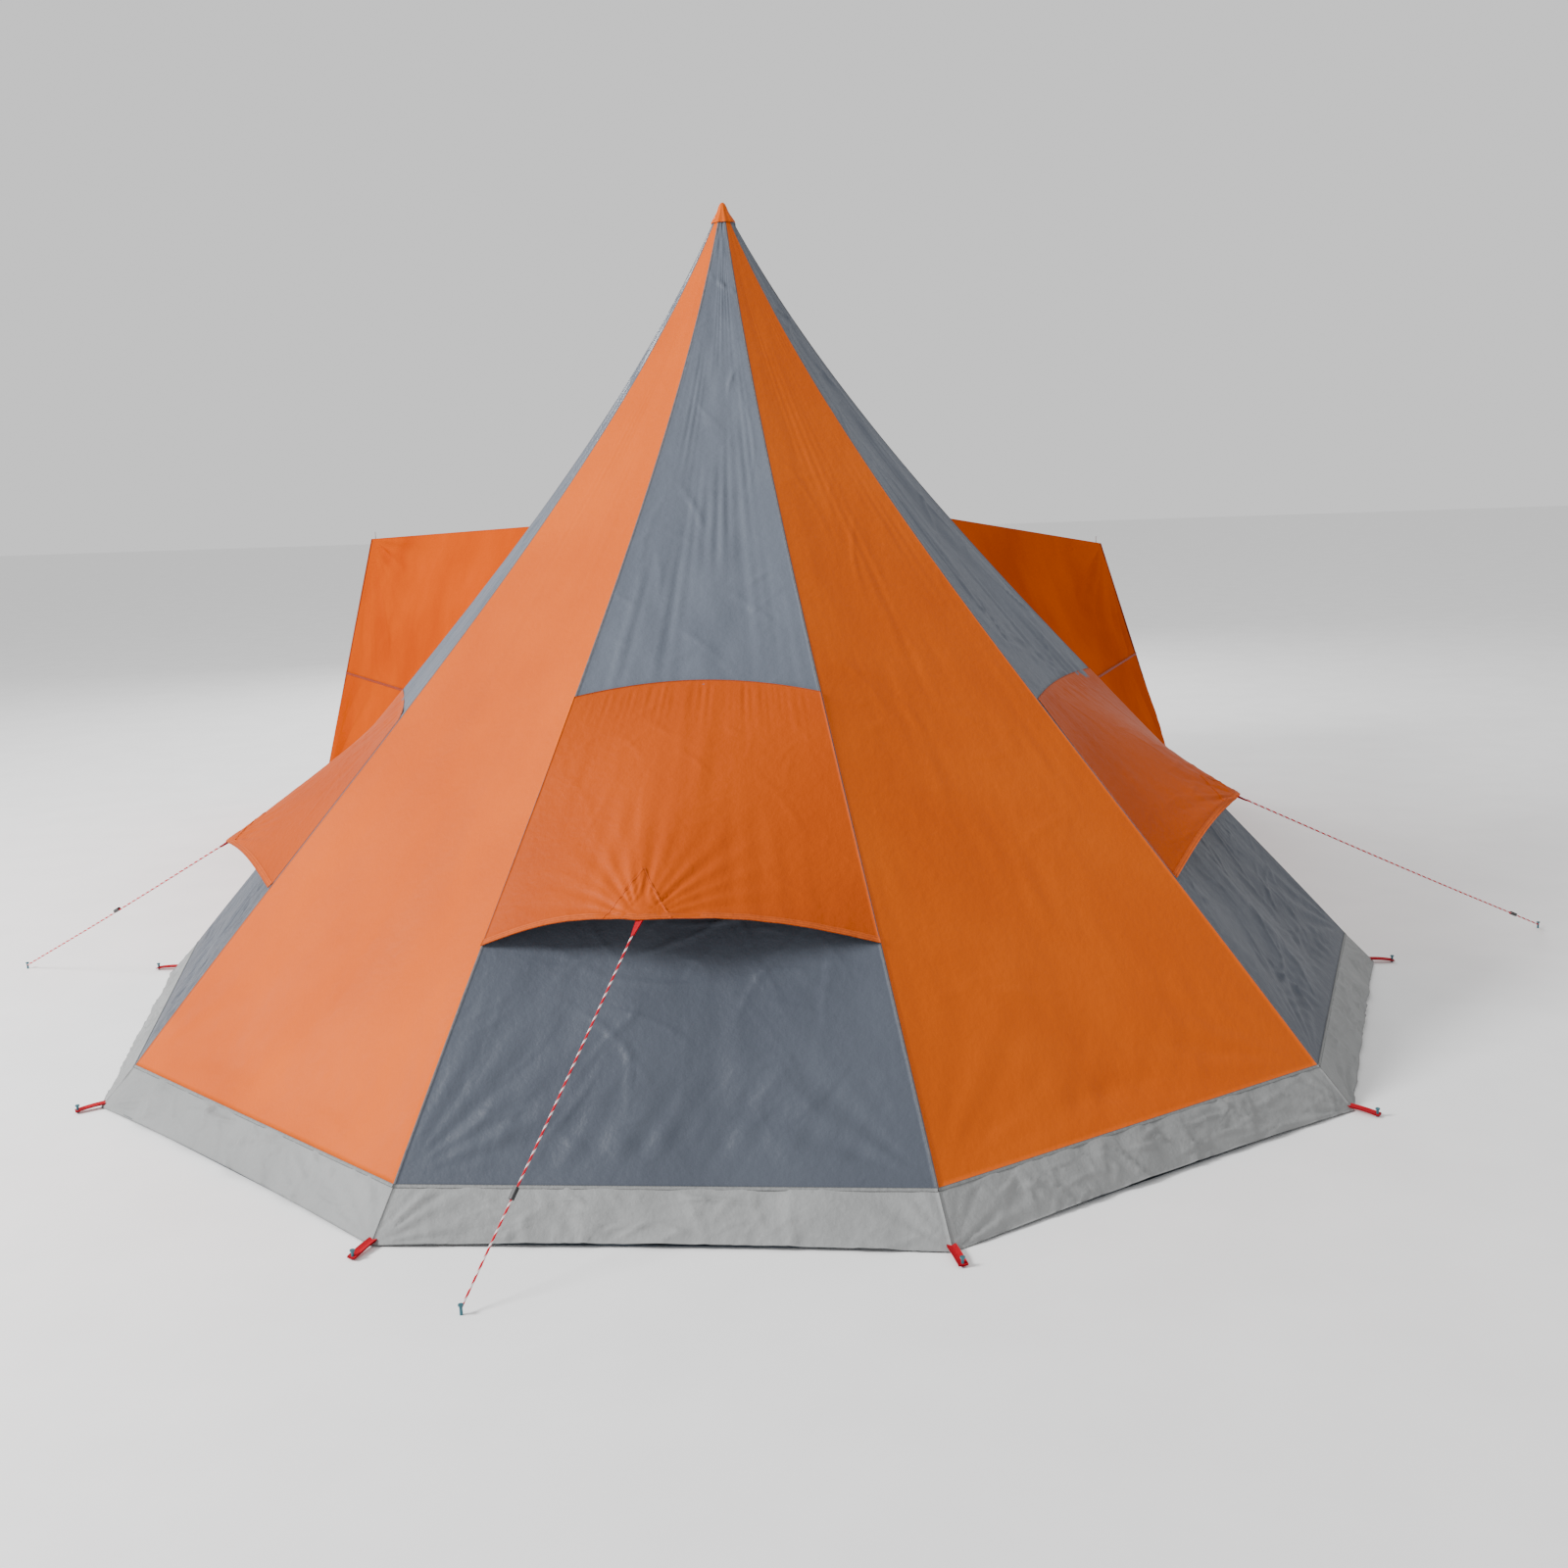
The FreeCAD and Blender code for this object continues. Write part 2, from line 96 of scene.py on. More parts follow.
def seam_radius(z):
    """Radius of the hanging seam line at height z."""
    t = (PEAK_HEIGHT - z) / (PEAK_HEIGHT - SKIRT_HEIGHT)
    sag = SEAM_SAG * (1 - t) + SEAM_SAG_LOW * (1 - t) * t
    return SEAM_FOOT_RADIUS * t * (1 - sag)


def hood_tip(side):
    middle, radius, height, shift = HOODS[side]
    return ray(middle) * radius + ray(middle + 90.0) * shift + np.array([0, 0, height])


# --- camera -------------------------------------------------------------------------
CAMERA_PLACE = (-0.7115, 5.979, 1.951)
CAMERA_YAW = 0.09253
CAMERA_PITCH = 0.1948
CAMERA_ROLL = -0.03493
CAMERA_LENS = 34.8


def make_camera():
    yaw, pitch, roll = CAMERA_YAW, CAMERA_PITCH, CAMERA_ROLL
    right = np.array([-math.cos(yaw), -math.sin(yaw), 0.0])
    ahead = np.array([math.sin(yaw) * math.cos(pitch), -math.cos(yaw) * math.cos(pitch),
                      -math.sin(pitch)])
    up = np.cross(right, ahead)
    turned = math.cos(roll) * right + math.sin(roll) * up
    raised = -math.sin(roll) * right + math.cos(roll) * up
    data = bpy.data.cameras.new("camera")
    data.lens = CAMERA_LENS
    data.sensor_width = 36.0
    data.clip_end = 200.0
    camera = bpy.data.objects.new("camera", data)
    bpy.context.scene.collection.objects.link(camera)
    columns = (turned, raised, -ahead, CAMERA_PLACE)
    camera.matrix_world = Matrix([[float(c[i]) for c in columns] for i in range(3)]
                                 + [[0, 0, 0, 1]])
    bpy.context.scene.camera = camera


make_camera()


# --- materials ----------------------------------------------------------------------
def new_material(name):
    material = bpy.data.materials.new(name)
    material.use_nodes = True
    tree = material.node_tree
    shader = tree.nodes["Principled BSDF"]
    return material, tree, shader


def node(tree, kind, **values):
    made = tree.nodes.new(kind)
    for key, value in values.items():
        if hasattr(made, key):
            setattr(made, key, value)
        else:
            made.inputs[key].default_value = value
    return made


def noise(tree, vector, scale, detail=3.0, rough=0.55):
    made = node(tree, "ShaderNodeTexNoise", Scale=scale, Detail=detail, Roughness=rough)
    tree.links.new(vector, made.inputs["Vector"])
    return made.outputs["Fac"]


def ramp(tree, value, low, high, start=0.3, end=0.7):
    """Colour that goes from low to high as value goes from start to end."""
    made = node(tree, "ShaderNodeValToRGB")
    made.color_ramp.elements[0].position = start
    made.color_ramp.elements[0].color = (*low, 1)
    made.color_ramp.elements[1].position = end
    made.color_ramp.elements[1].color = (*high, 1)
    tree.links.new(value, made.inputs["Fac"])
    return made.outputs["Color"]


def mapped(tree, value, low, high):
    made = node(tree, "ShaderNodeMapRange")
    made.inputs["To Min"].default_value = low
    made.inputs["To Max"].default_value = high
    tree.links.new(value, made.inputs["Value"])
    return made.outputs["Result"]


def bumps(tree, layers):
    """Chain of bumps; layers are (height, strength, distance)."""
    last = None
    for height, strength, distance in layers:
        made = node(tree, "ShaderNodeBump")
        made.inputs["Strength"].default_value = strength
        made.inputs["Distance"].default_value = distance
        tree.links.new(height, made.inputs["Height"])
        if last is not None:
            tree.links.new(last, made.inputs["Normal"])
        last = made.outputs["Normal"]
    return last


def weave(tree, vector, threads):
    """Height of a plain weave; threads are counted to the metre."""
    split = node(tree, "ShaderNodeSeparateXYZ")
    tree.links.new(vector, split.inputs["Vector"])
    waves = []
    for axis in ("X", "Y"):
        turn = node(tree, "ShaderNodeMath", operation="MULTIPLY")
        turn.inputs[1].default_value = threads * 2 * math.pi
        tree.links.new(split.outputs[axis], turn.inputs[0])
        wave = node(tree, "ShaderNodeMath", operation="SINE")
        tree.links.new(turn.outputs[0], wave.inputs[0])
        waves.append(wave.outputs[0])
    product = node(tree, "ShaderNodeMath", operation="MULTIPLY")
    tree.links.new(waves[0], product.inputs[0])
    tree.links.new(waves[1], product.inputs[1])
    return product.outputs[0]


def cloth(name, dark, light, rough=(0.42, 0.6), crinkle=0.55, gloss=0.10,
          threads=900.0):
    """Woven, coated tent cloth with its slight blotches and fine crinkles."""
    material, tree, shader = new_material(name)
    where = node(tree, "ShaderNodeTexCoord")
    place = where.outputs["Object"]
    broad = noise(tree, place, 1.6, 4.0)
    fine = noise(tree, place, 38.0, 5.0, 0.6)
    grain = noise(tree, place, 420.0, 2.0)
    tree.links.new(ramp(tree, broad, dark, light, 0.32, 0.68), shader.inputs["Base Color"])
    tree.links.new(mapped(tree, fine, *rough), shader.inputs["Roughness"])
    normal = bumps(tree, [(fine, crinkle, 0.004), (grain, 0.08, 0.0006),
                          (weave(tree, where.outputs["UV"], threads), 0.12, 0.0002)])
    tree.links.new(normal, shader.inputs["Normal"])
    shader.inputs["Specular IOR Level"].default_value = gloss
    return material


def solid_paint(name, dark, light, rough, metal=0.0, scale=60.0, bump=0.06):
    """Moulded or painted surface with small wear and unevenness."""
    material, tree, shader = new_material(name)
    place = node(tree, "ShaderNodeTexCoord").outputs["Object"]
    spots = noise(tree, place, scale, 6.0, 0.7)
    scratch = noise(tree, place, scale * 9, 2.0)
    tree.links.new(ramp(tree, spots, dark, light, 0.4, 0.75), shader.inputs["Base Color"])
    tree.links.new(mapped(tree, scratch, *rough), shader.inputs["Roughness"])
    tree.links.new(bumps(tree, [(scratch, bump, 0.0005)]), shader.inputs["Normal"])
    shader.inputs["Metallic"].default_value = metal
    return material


def ribbed(name, dark, light, rib, rough=(0.55, 0.75)):
    """Webbing or tape: ribs that follow each other along V, rib metres apart."""
    material, tree, shader = new_material(name)
    where = node(tree, "ShaderNodeTexCoord")
    split = node(tree, "ShaderNodeSeparateXYZ")
    tree.links.new(where.outputs["UV"], split.inputs["Vector"])
    turn = node(tree, "ShaderNodeMath", operation="MULTIPLY")
    turn.inputs[1].default_value = 2 * math.pi / rib
    tree.links.new(split.outputs["Y"], turn.inputs[0])
    wave = node(tree, "ShaderNodeMath", operation="SINE")
    tree.links.new(turn.outputs[0], wave.inputs[0])
    level = mapped(tree, wave.outputs[0], 0.0, 1.0)
    fuzz = noise(tree, where.outputs["Object"], 300.0, 3.0)
    tree.links.new(ramp(tree, fuzz, dark, light, 0.3, 0.7), shader.inputs["Base Color"])
    tree.links.new(mapped(tree, fuzz, *rough), shader.inputs["Roughness"])
    tree.links.new(bumps(tree, [(level, 0.5, 0.0006), (fuzz, 0.2, 0.0004)]),
                   shader.inputs["Normal"])
    shader.inputs["Specular IOR Level"].default_value = 0.1
    return material


def stitched(name, dark, light, thread, pitch):
    """Sewn seam tape: two rows of stitches along V, pitch metres from stitch to stitch."""
    material, tree, shader = new_material(name)
    where = node(tree, "ShaderNodeTexCoord")
    split = node(tree, "ShaderNodeSeparateXYZ")
    tree.links.new(where.outputs["UV"], split.inputs["Vector"])
    turn = node(tree, "ShaderNodeMath", operation="MULTIPLY")
    turn.inputs[1].default_value = 2 * math.pi / pitch
    tree.links.new(split.outputs["Y"], turn.inputs[0])
    wave = node(tree, "ShaderNodeMath", operation="SINE")
    tree.links.new(turn.outputs[0], wave.inputs[0])
    dash = node(tree, "ShaderNodeMath", operation="GREATER_THAN")
    dash.inputs[1].default_value = -0.3
    tree.links.new(wave.outputs[0], dash.inputs[0])
    side = node(tree, "ShaderNodeMath", operation="ABSOLUTE")
    tree.links.new(split.outputs["X"], side.inputs[0])
    row = node(tree, "ShaderNodeMath", operation="COMPARE")
    row.inputs[1].default_value = 0.0045
    row.inputs[2].default_value = 0.0008
    tree.links.new(side.outputs[0], row.inputs[0])
    stitch = node(tree, "ShaderNodeMath", operation="MULTIPLY")
    tree.links.new(dash.outputs[0], stitch.inputs[0])
    tree.links.new(row.outputs[0], stitch.inputs[1])
    fuzz = noise(tree, where.outputs["Object"], 90.0, 4.0)
    mix = node(tree, "ShaderNodeMix", data_type="RGBA")
    tree.links.new(stitch.outputs[0], mix.inputs["Factor"])
    tree.links.new(ramp(tree, fuzz, dark, light), mix.inputs[6])
    mix.inputs[7].default_value = (*thread, 1)
    tree.links.new(mix.outputs[2], shader.inputs["Base Color"])
    tree.links.new(mapped(tree, fuzz, 0.5, 0.7), shader.inputs["Roughness"])
    tree.links.new(bumps(tree, [(fuzz, 0.5, 0.002), (stitch.outputs[0], 0.6, 0.0005)]),
                   shader.inputs["Normal"])
    shader.inputs["Specular IOR Level"].default_value = 0.1
    return material


def rope_material():
    """Red braid with white flecks that wind round it."""
    material, tree, shader = new_material("guyline_braid")
    where = node(tree, "ShaderNodeTexCoord")
    split = node(tree, "ShaderNodeSeparateXYZ")
    tree.links.new(where.outputs["UV"], split.inputs["Vector"])
    along = node(tree, "ShaderNodeMath", operation="MULTIPLY")
    along.inputs[1].default_value = 1 / 0.036
    tree.links.new(split.outputs["Y"], along.inputs[0])
    wound = node(tree, "ShaderNodeMath", operation="ADD")
    tree.links.new(along.outputs[0], wound.inputs[0])
    tree.links.new(split.outputs["X"], wound.inputs[1])
    part = node(tree, "ShaderNodeMath", operation="FRACT")
    tree.links.new(wound.outputs[0], part.inputs[0])
    white = node(tree, "ShaderNodeMath", operation="GREATER_THAN")
    white.inputs[1].default_value = 0.66
    tree.links.new(part.outputs[0], white.inputs[0])
    mix = node(tree, "ShaderNodeMix", data_type="RGBA")
    tree.links.new(white.outputs[0], mix.inputs["Factor"])
    mix.inputs[6].default_value = (0.50, 0.004, 0.020, 1)
    mix.inputs[7].default_value = (0.66, 0.60, 0.60, 1)
    tree.links.new(mix.outputs[2], shader.inputs["Base Color"])
    fuzz = noise(tree, where.outputs["Object"], 900.0, 3.0)
    tree.links.new(mapped(tree, fuzz, 0.55, 0.8), shader.inputs["Roughness"])
    tree.links.new(bumps(tree, [(fuzz, 0.4, 0.0003)]), shader.inputs["Normal"])
    shader.inputs["Specular IOR Level"].default_value = 0.1
    return material


def mesh_material():
    """Fine mosquito mesh, drawn as a dark net of hexagon-like holes."""
    material, tree, shader = new_material("vent_net")
    where = node(tree, "ShaderNodeTexCoord")
    holes = node(tree, "ShaderNodeTexVoronoi", Scale=420.0)
    tree.links.new(where.outputs["UV"], holes.inputs["Vector"])
    tree.links.new(ramp(tree, holes.outputs["Distance"], (0.05, 0.05, 0.055),
                        (0.012, 0.012, 0.014), 0.3, 0.6), shader.inputs["Base Color"])
    tree.links.new(bumps(tree, [(holes.outputs["Distance"], 0.6, 0.0008)]),
                   shader.inputs["Normal"])
    shader.inputs["Roughness"].default_value = 0.8
    return material


ORANGE = cloth("orange_cloth", (0.50, 0.078, 0.001), (0.58, 0.100, 0.003))
HOOD_ORANGE = cloth("hood_cloth", (0.36, 0.051, 0.001), (0.43, 0.066, 0.002), crinkle=0.7)
AWNING = cloth("awning_cloth", (0.38, 0.046, 0.000), (0.47, 0.066, 0.001), (0.6, 0.8), 0.9,
               gloss=0.0)
GREY = cloth("grey_cloth", (0.088, 0.100, 0.125), (0.112, 0.127, 0.155), (0.34, 0.5), 0.7)
# Darker copy of the grey cloth for the lower walls: painted shade, standing in for the shade the
# walls lie in under the hoods.
GREY_WALL_PAINTED_SHADE = cloth("grey_wall_painted_shade_cloth", (0.058, 0.066, 0.084), (0.075, 0.085, 0.105), (0.34, 0.5),
                  0.7)
SKIRT = cloth("skirt_cloth", (0.21, 0.215, 0.215), (0.27, 0.275, 0.275), (0.45, 0.62), 1.0,
              threads=500.0)
FLOOR_SHEET = cloth("groundsheet_cloth", (0.020, 0.032, 0.048), (0.034, 0.048, 0.070),
                    (0.35, 0.5), 0.5, threads=400.0)
NET = mesh_material()
RED_WEBBING = ribbed("red_webbing", (0.33, 0.001, 0.008), (0.44, 0.003, 0.016), 0.0016)
ZIP_TAPE = ribbed("zip_tape_weave", (0.02, 0.02, 0.022), (0.05, 0.05, 0.055), 0.0011)
ROPE = rope_material()
ORANGE_SEAM = stitched("orange_seam", (0.40, 0.062, 0.006), (0.50, 0.085, 0.009),
                       (0.16, 0.045, 0.015), 0.004)
AWNING_SEAM = stitched("awning_seam", (0.20, 0.018, 0.000), (0.27, 0.027, 0.001),
                       (0.10, 0.015, 0.003), 0.004)
GREY_SEAM = stitched("grey_seam", (0.085, 0.085, 0.095), (0.13, 0.125, 0.13),
                     (0.05, 0.05, 0.055), 0.004)
SKIRT_SEAM = stitched("skirt_seam", (0.16, 0.165, 0.165), (0.22, 0.225, 0.225),
                      (0.08, 0.08, 0.08), 0.004)
BLACK = solid_paint("black_moulding", (0.012, 0.012, 0.013), (0.03, 0.03, 0.032), (0.4, 0.6))
POLE = solid_paint("pole_powder_coat", (0.17, 0.175, 0.18), (0.25, 0.255, 0.26), (0.3, 0.5),
                   0.6)
STEEL = solid_paint("bare_steel", (0.45, 0.46, 0.47), (0.62, 0.63, 0.64), (0.22, 0.4), 1.0)
PEG = solid_paint("peg_paint", (0.02, 0.10, 0.13), (0.06, 0.19, 0.22), (0.35, 0.55), 0.3)
ZIP_METAL = solid_paint("zip_enamel", (0.015, 0.015, 0.017), (0.06, 0.06, 0.06), (0.3, 0.45),
                        0.5, 200.0)


# --- mesh tools ---------------------------------------------------------------------
def grid_faces(rows, cols, start, flip=False):
    index = np.arange(rows * cols).reshape(rows, cols) + start
    quads = np.stack([index[:-1, :-1], index[:-1, 1:], index[1:, 1:], index[1:, :-1]], -1)
    quads = quads.reshape(-1, 4)
    return quads[:, ::-1] if flip else quads


def rim_faces(rows, cols, start, back):
    index = np.arange(rows * cols).reshape(rows, cols)
    ring = np.concatenate([index[0, :-1], index[:-1, -1], index[-1, :0:-1], index[:0:-1, 0]])
    after = np.roll(ring, -1)
    return np.stack([ring + start, ring + back, after + back, after + start], -1)


def normals_of(grid):
    """Unit normals of a grid of points."""
    along = np.gradient(grid, axis=0)
    across = np.gradient(grid, axis=1)
    n = np.cross(across, along)
    size = np.linalg.norm(n, axis=-1, keepdims=True)
    return n / np.maximum(size, 1e-9)


def lengths_uv(grid):
    """UV in metres: U from the middle column outwards, V from row to row."""
    mid = grid.shape[1] // 2
    across = np.linalg.norm(np.diff(grid, axis=1), axis=-1)
    u = np.concatenate([np.zeros((grid.shape[0], 1)), np.cumsum(across, 1)], 1)
    u = u - u[:, mid:mid + 1]
    along = np.linalg.norm(np.diff(grid[:, mid], axis=0), axis=-1)
    v = np.concatenate([[0.0], np.cumsum(along)])
    return np.stack([u, np.repeat(v[:, None], grid.shape[1], 1)], -1)


def make_sheet(name, grids, material, thickness=CLOTH):
    """Closed thin shell from one or more grids; its front is the side the grid shows."""
    points, faces, uvs = [], [], []
    count = 0
    for grid in grids:
        rows, cols = grid.shape[:2]
        back = grid - normals_of(grid) * thickness
        uv = lengths_uv(grid).reshape(-1, 2)
        points += [grid.reshape(-1, 3), back.reshape(-1, 3)]
        uvs += [uv, uv]
        size = rows * cols
        faces += [grid_faces(rows, cols, count), grid_faces(rows, cols, count + size, True),
                  rim_faces(rows, cols, count, count + size)[:, ::-1]]
        count += 2 * size
    return mesh_object(name, np.concatenate(points), np.concatenate(faces),
                       np.concatenate(uvs), material)


def mesh_object(name, points, faces, uvs, material):
    mesh = bpy.data.meshes.new(name)
    mesh.from_pydata([tuple(p) for p in points.tolist()], [], [tuple(f) for f in faces.tolist()])
    layer = mesh.uv_layers.new(name="UVMap")
    loop_points = np.zeros(len(mesh.loops), dtype=np.int64)
    mesh.loops.foreach_get("vertex_index", loop_points)
    layer.data.foreach_set("uv", uvs[loop_points].astype(np.float32).ravel())
    mesh.polygons.foreach_set("use_smooth", [True] * len(mesh.polygons))
    mesh.materials.append(material)
    mesh.update()
    made = bpy.data.objects.new(name, mesh)
    bpy.context.scene.collection.objects.link(made)
    return made


def flat_area(grids):
    total = 0.0
    for grid in grids:
        a, b = grid[1:, 1:] - grid[:-1, :-1], grid[1:, :-1] - grid[:-1, 1:]
        total += float(np.linalg.norm(np.cross(a, b), axis=-1).sum() / 2)
    return total


def declare(grids):
    """Works out the flat width, length and area of a sheet from its grids; the values are not kept.
    """
    spans = [lengths_uv(grid) for grid in grids]
    width = max(float(np.ptp(s[..., 0])) for s in spans)
    area = flat_area(grids)
    length = float(np.ptp(spans[0][..., 1])) if len(grids) == 1 else area / width
    area = min(max(area, 0.3 * width * length), width * length)


# --- folds --------------------------------------------------------------------------
PHASES = 6.28                    # random phases run over about a full turn
CLOTH_PER_HEIGHT = 1.3           # metres along a gore for each metre of height


def ripples(u, v, seed, count, across, along):
    """Sum of slanted waves over a panel; across and along are ranges of waves per unit."""
    rng = np.random.default_rng(seed)
    total = np.zeros_like(u)
    for _ in range(count):
        fu, fv = rng.uniform(*across), rng.uniform(*along) * rng.choice([-1.0, 1.0])
        wave = np.sin(2 * np.pi * (fu * u + fv * v) + rng.uniform(0, 2 * np.pi))
        total += rng.uniform(0.5, 1.0) * wave
    return total / math.sqrt(count)


def patches(u, v, seed, count=5):
    """Slowly varying 0 to 1 mask, so folds come and go."""
    rng = np.random.default_rng(seed)
    total = np.zeros_like(u)
    for _ in range(count):
        fu, fv = rng.uniform(0.3, 1.5), rng.uniform(0.4, 1.8)
        total += np.sin(2 * np.pi * fu * u + rng.uniform(0, PHASES)) * np.sin(
            2 * np.pi * fv * v + rng.uniform(0, PHASES))
    return np.clip(0.5 + total / count * 1.6, 0, 1)


def creases(x, y, seed, count, length, width, box):
    """Fine straight creases, each a short narrow ridge; x and y in metres."""
    rng = np.random.default_rng(seed)
    total = np.zeros_like(x)
    for _ in range(count):
        cx, cy = rng.uniform(box[0], box[1]), rng.uniform(box[2], box[3])
        turn = rng.uniform(0, np.pi)
        run = rng.uniform(*length)
        thick = rng.uniform(*width)
        dx, dy = x - cx, y - cy
        a = dx * np.cos(turn) + dy * np.sin(turn)
        b = -dx * np.sin(turn) + dy * np.cos(turn) + 0.12 * a * a / run * rng.choice([-1, 1])
        total += rng.uniform(0.4, 1.0) * np.exp(-(a / run) ** 2 - (b / thick) ** 2)
    return total


def radiating(x, y, origin, seed, count, reach):
    """Folds that fan out from a pulled point and die away over reach metres."""
    rng = np.random.default_rng(seed)
    dx, dy = x - origin[0], y - origin[1]
    distance = np.hypot(dx, dy)
    turn = np.arctan2(dy, dx)
    total = np.zeros_like(x)
    for _ in range(count):
        total += rng.uniform(0.4, 1.0) * np.cos(rng.uniform(9, 30) * turn + rng.uniform(0, PHASES))
    grow = np.clip(distance / (0.35 * reach), 0, 1)
    return total / math.sqrt(count) * grow * np.exp(-(distance / reach) ** 1.3)


# --- tent surfaces ------------------------------------------------------------------
def gore_grid(middle, low, high, seed, rows, cols, folds=1.0):
    """Cloth of one gore between two heights, hung between its two seams."""
    z = low + (high - low) * np.linspace(0, 1, rows)[:, None] * np.ones((1, cols))
    u = np.linspace(-1, 1, cols)[None, :] * np.ones((rows, 1))
    radius = seam_radius(z)
    out, side = ray(middle), ray(middle + 90.0)
    half = radius * math.sin(HALF)
    flat = out * (radius * math.cos(HALF))[..., None] + side * (u * half)[..., None]
    flat[..., 2] = z
    slope = np.gradient(seam_radius(z[:, 0]), z[:, 0])[:, None] * math.cos(HALF)
    normal = out * np.ones_like(z)[..., None] + np.array([0, 0, 1.0]) * (-slope)[..., None]
    normal /= np.linalg.norm(normal, axis=-1, keepdims=True)
    edge = np.clip(1 - u * u, 0, 1)
    x, y = u * half, z * CLOTH_PER_HEIGHT
    soft = edge ** 0.6
    at_skirt = low < 0.2
    low_hold = np.clip((z - low) / 0.09, 0, 1) if at_skirt else 1.0
    bow = PANEL_BOW * edge * half * low_hold
    long_folds = ripples(u, z, seed, 9, (0.4, 1.6), (0.05, 0.3)) * half * 0.007
    long_folds *= 0.35 + patches(u, z, seed + 50)
    tension = ripples(u, z, seed + 7, 12, (3.0, 9.0), (0.1, 0.8)) * 0.0011
    tension *= patches(u, z, seed + 60) * np.clip(half / 0.25, 0, 1)
    slanted = ripples(x, y, seed + 8, 8, (3.0, 10.0), (1.0, 4.0)) * 0.0009
    slanted *= patches(u, z, seed + 70)
    box = (-0.75, 0.75, low * CLOTH_PER_HEIGHT, high * CLOTH_PER_HEIGHT)
    nicks = creases(x, y, seed + 9, 110, (0.03, 0.20), (0.004, 0.012), box) * 0.0026
    nicks *= 0.3 + patches(u, z, seed + 80)
    depth = long_folds + tension + slanted + nicks
    if at_skirt:
        corner = seam_radius(low) * math.sin(HALF)
        foot = low * CLOTH_PER_HEIGHT
        depth += sum(radiating(x, y, (s * corner, foot), seed + 11 + s, 5, 0.5)
                     for s in (-1, 1)) * 0.006
        depth += ripples(x, y, seed + 90, 8, (6.0, 14.0), (3.0, 9.0)) * 0.0016 * np.exp(
            -((z - low) / 0.22) ** 2)
    return flat + normal * (bow + depth * folds * soft * low_hold)[..., None]


def tent_piece(name, grids, material, nodes, body="tent", *, slot):
    """Sheet that stands for CAD nodes, set to ride on its body."""
    piece = make_sheet(name, grids, material)
    declare(grids)
    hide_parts(*nodes)
    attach(piece, body)


def make_gores():
    plain = [("orange_gore_rear_left", 36.0, ORANGE, "orange_cloth", 101),
             ("orange_gore_rear_right", -36.0, ORANGE, "orange_cloth", 202),
             ("orange_gore_side_left", 108.0, ORANGE, "orange_cloth", 303),
             ("orange_gore_side_right", -108.0, ORANGE, "orange_cloth", 404),
             ("grey_gore_front_left", 144.0, GREY, "grey_cloth", 505),
             ("grey_gore_front_right", -144.0, GREY, "grey_cloth", 606)]
    for name, angle, material, slot, seed in plain:
        grid = gore_grid(angle, SKIRT_HEIGHT, GORE_TOP, seed, 260, 65)
        tent_piece(name + "_cloth", [grid], material, [name], slot=slot)
    header = gore_grid(180.0, DOOR_TOP, GORE_TOP, 707, 140, 41)
    tent_piece("door_header_cloth", [header], ORANGE, ["door_header"], slot="orange_cloth")
    for side, seed in (("rear", 11), ("left", 22), ("right", 33)):
        middle = HOODS[side][0]
        vent_top = VENT_TOPS[side]
        upper = gore_grid(middle, vent_top - 0.03, GORE_TOP, seed, 220, 73, 2.4)
        tent_piece(side + "_upper_cloth", [upper], GREY, [side + "_upper_panel"],
                   slot="grey_cloth")
        net = gore_grid(middle, WALL_TOP + 0.004, vent_top - 0.035, seed + 1, 50, 41, 0.3)
        tent_piece(side + "_vent_net", [net], NET, [side + "_vent_mesh"], slot="mesh")
        # The lower wall is drawn in the darker copy of the grey cloth: painted shade.
        lower = gore_grid(middle, SKIRT_HEIGHT, WALL_TOP, seed + 2, 120, 121, 1.7)
        tent_piece(side + "_lower_cloth", [lower], GREY_WALL_PAINTED_SHADE, [side + "_lower_wall"],
                   slot="grey_cloth")


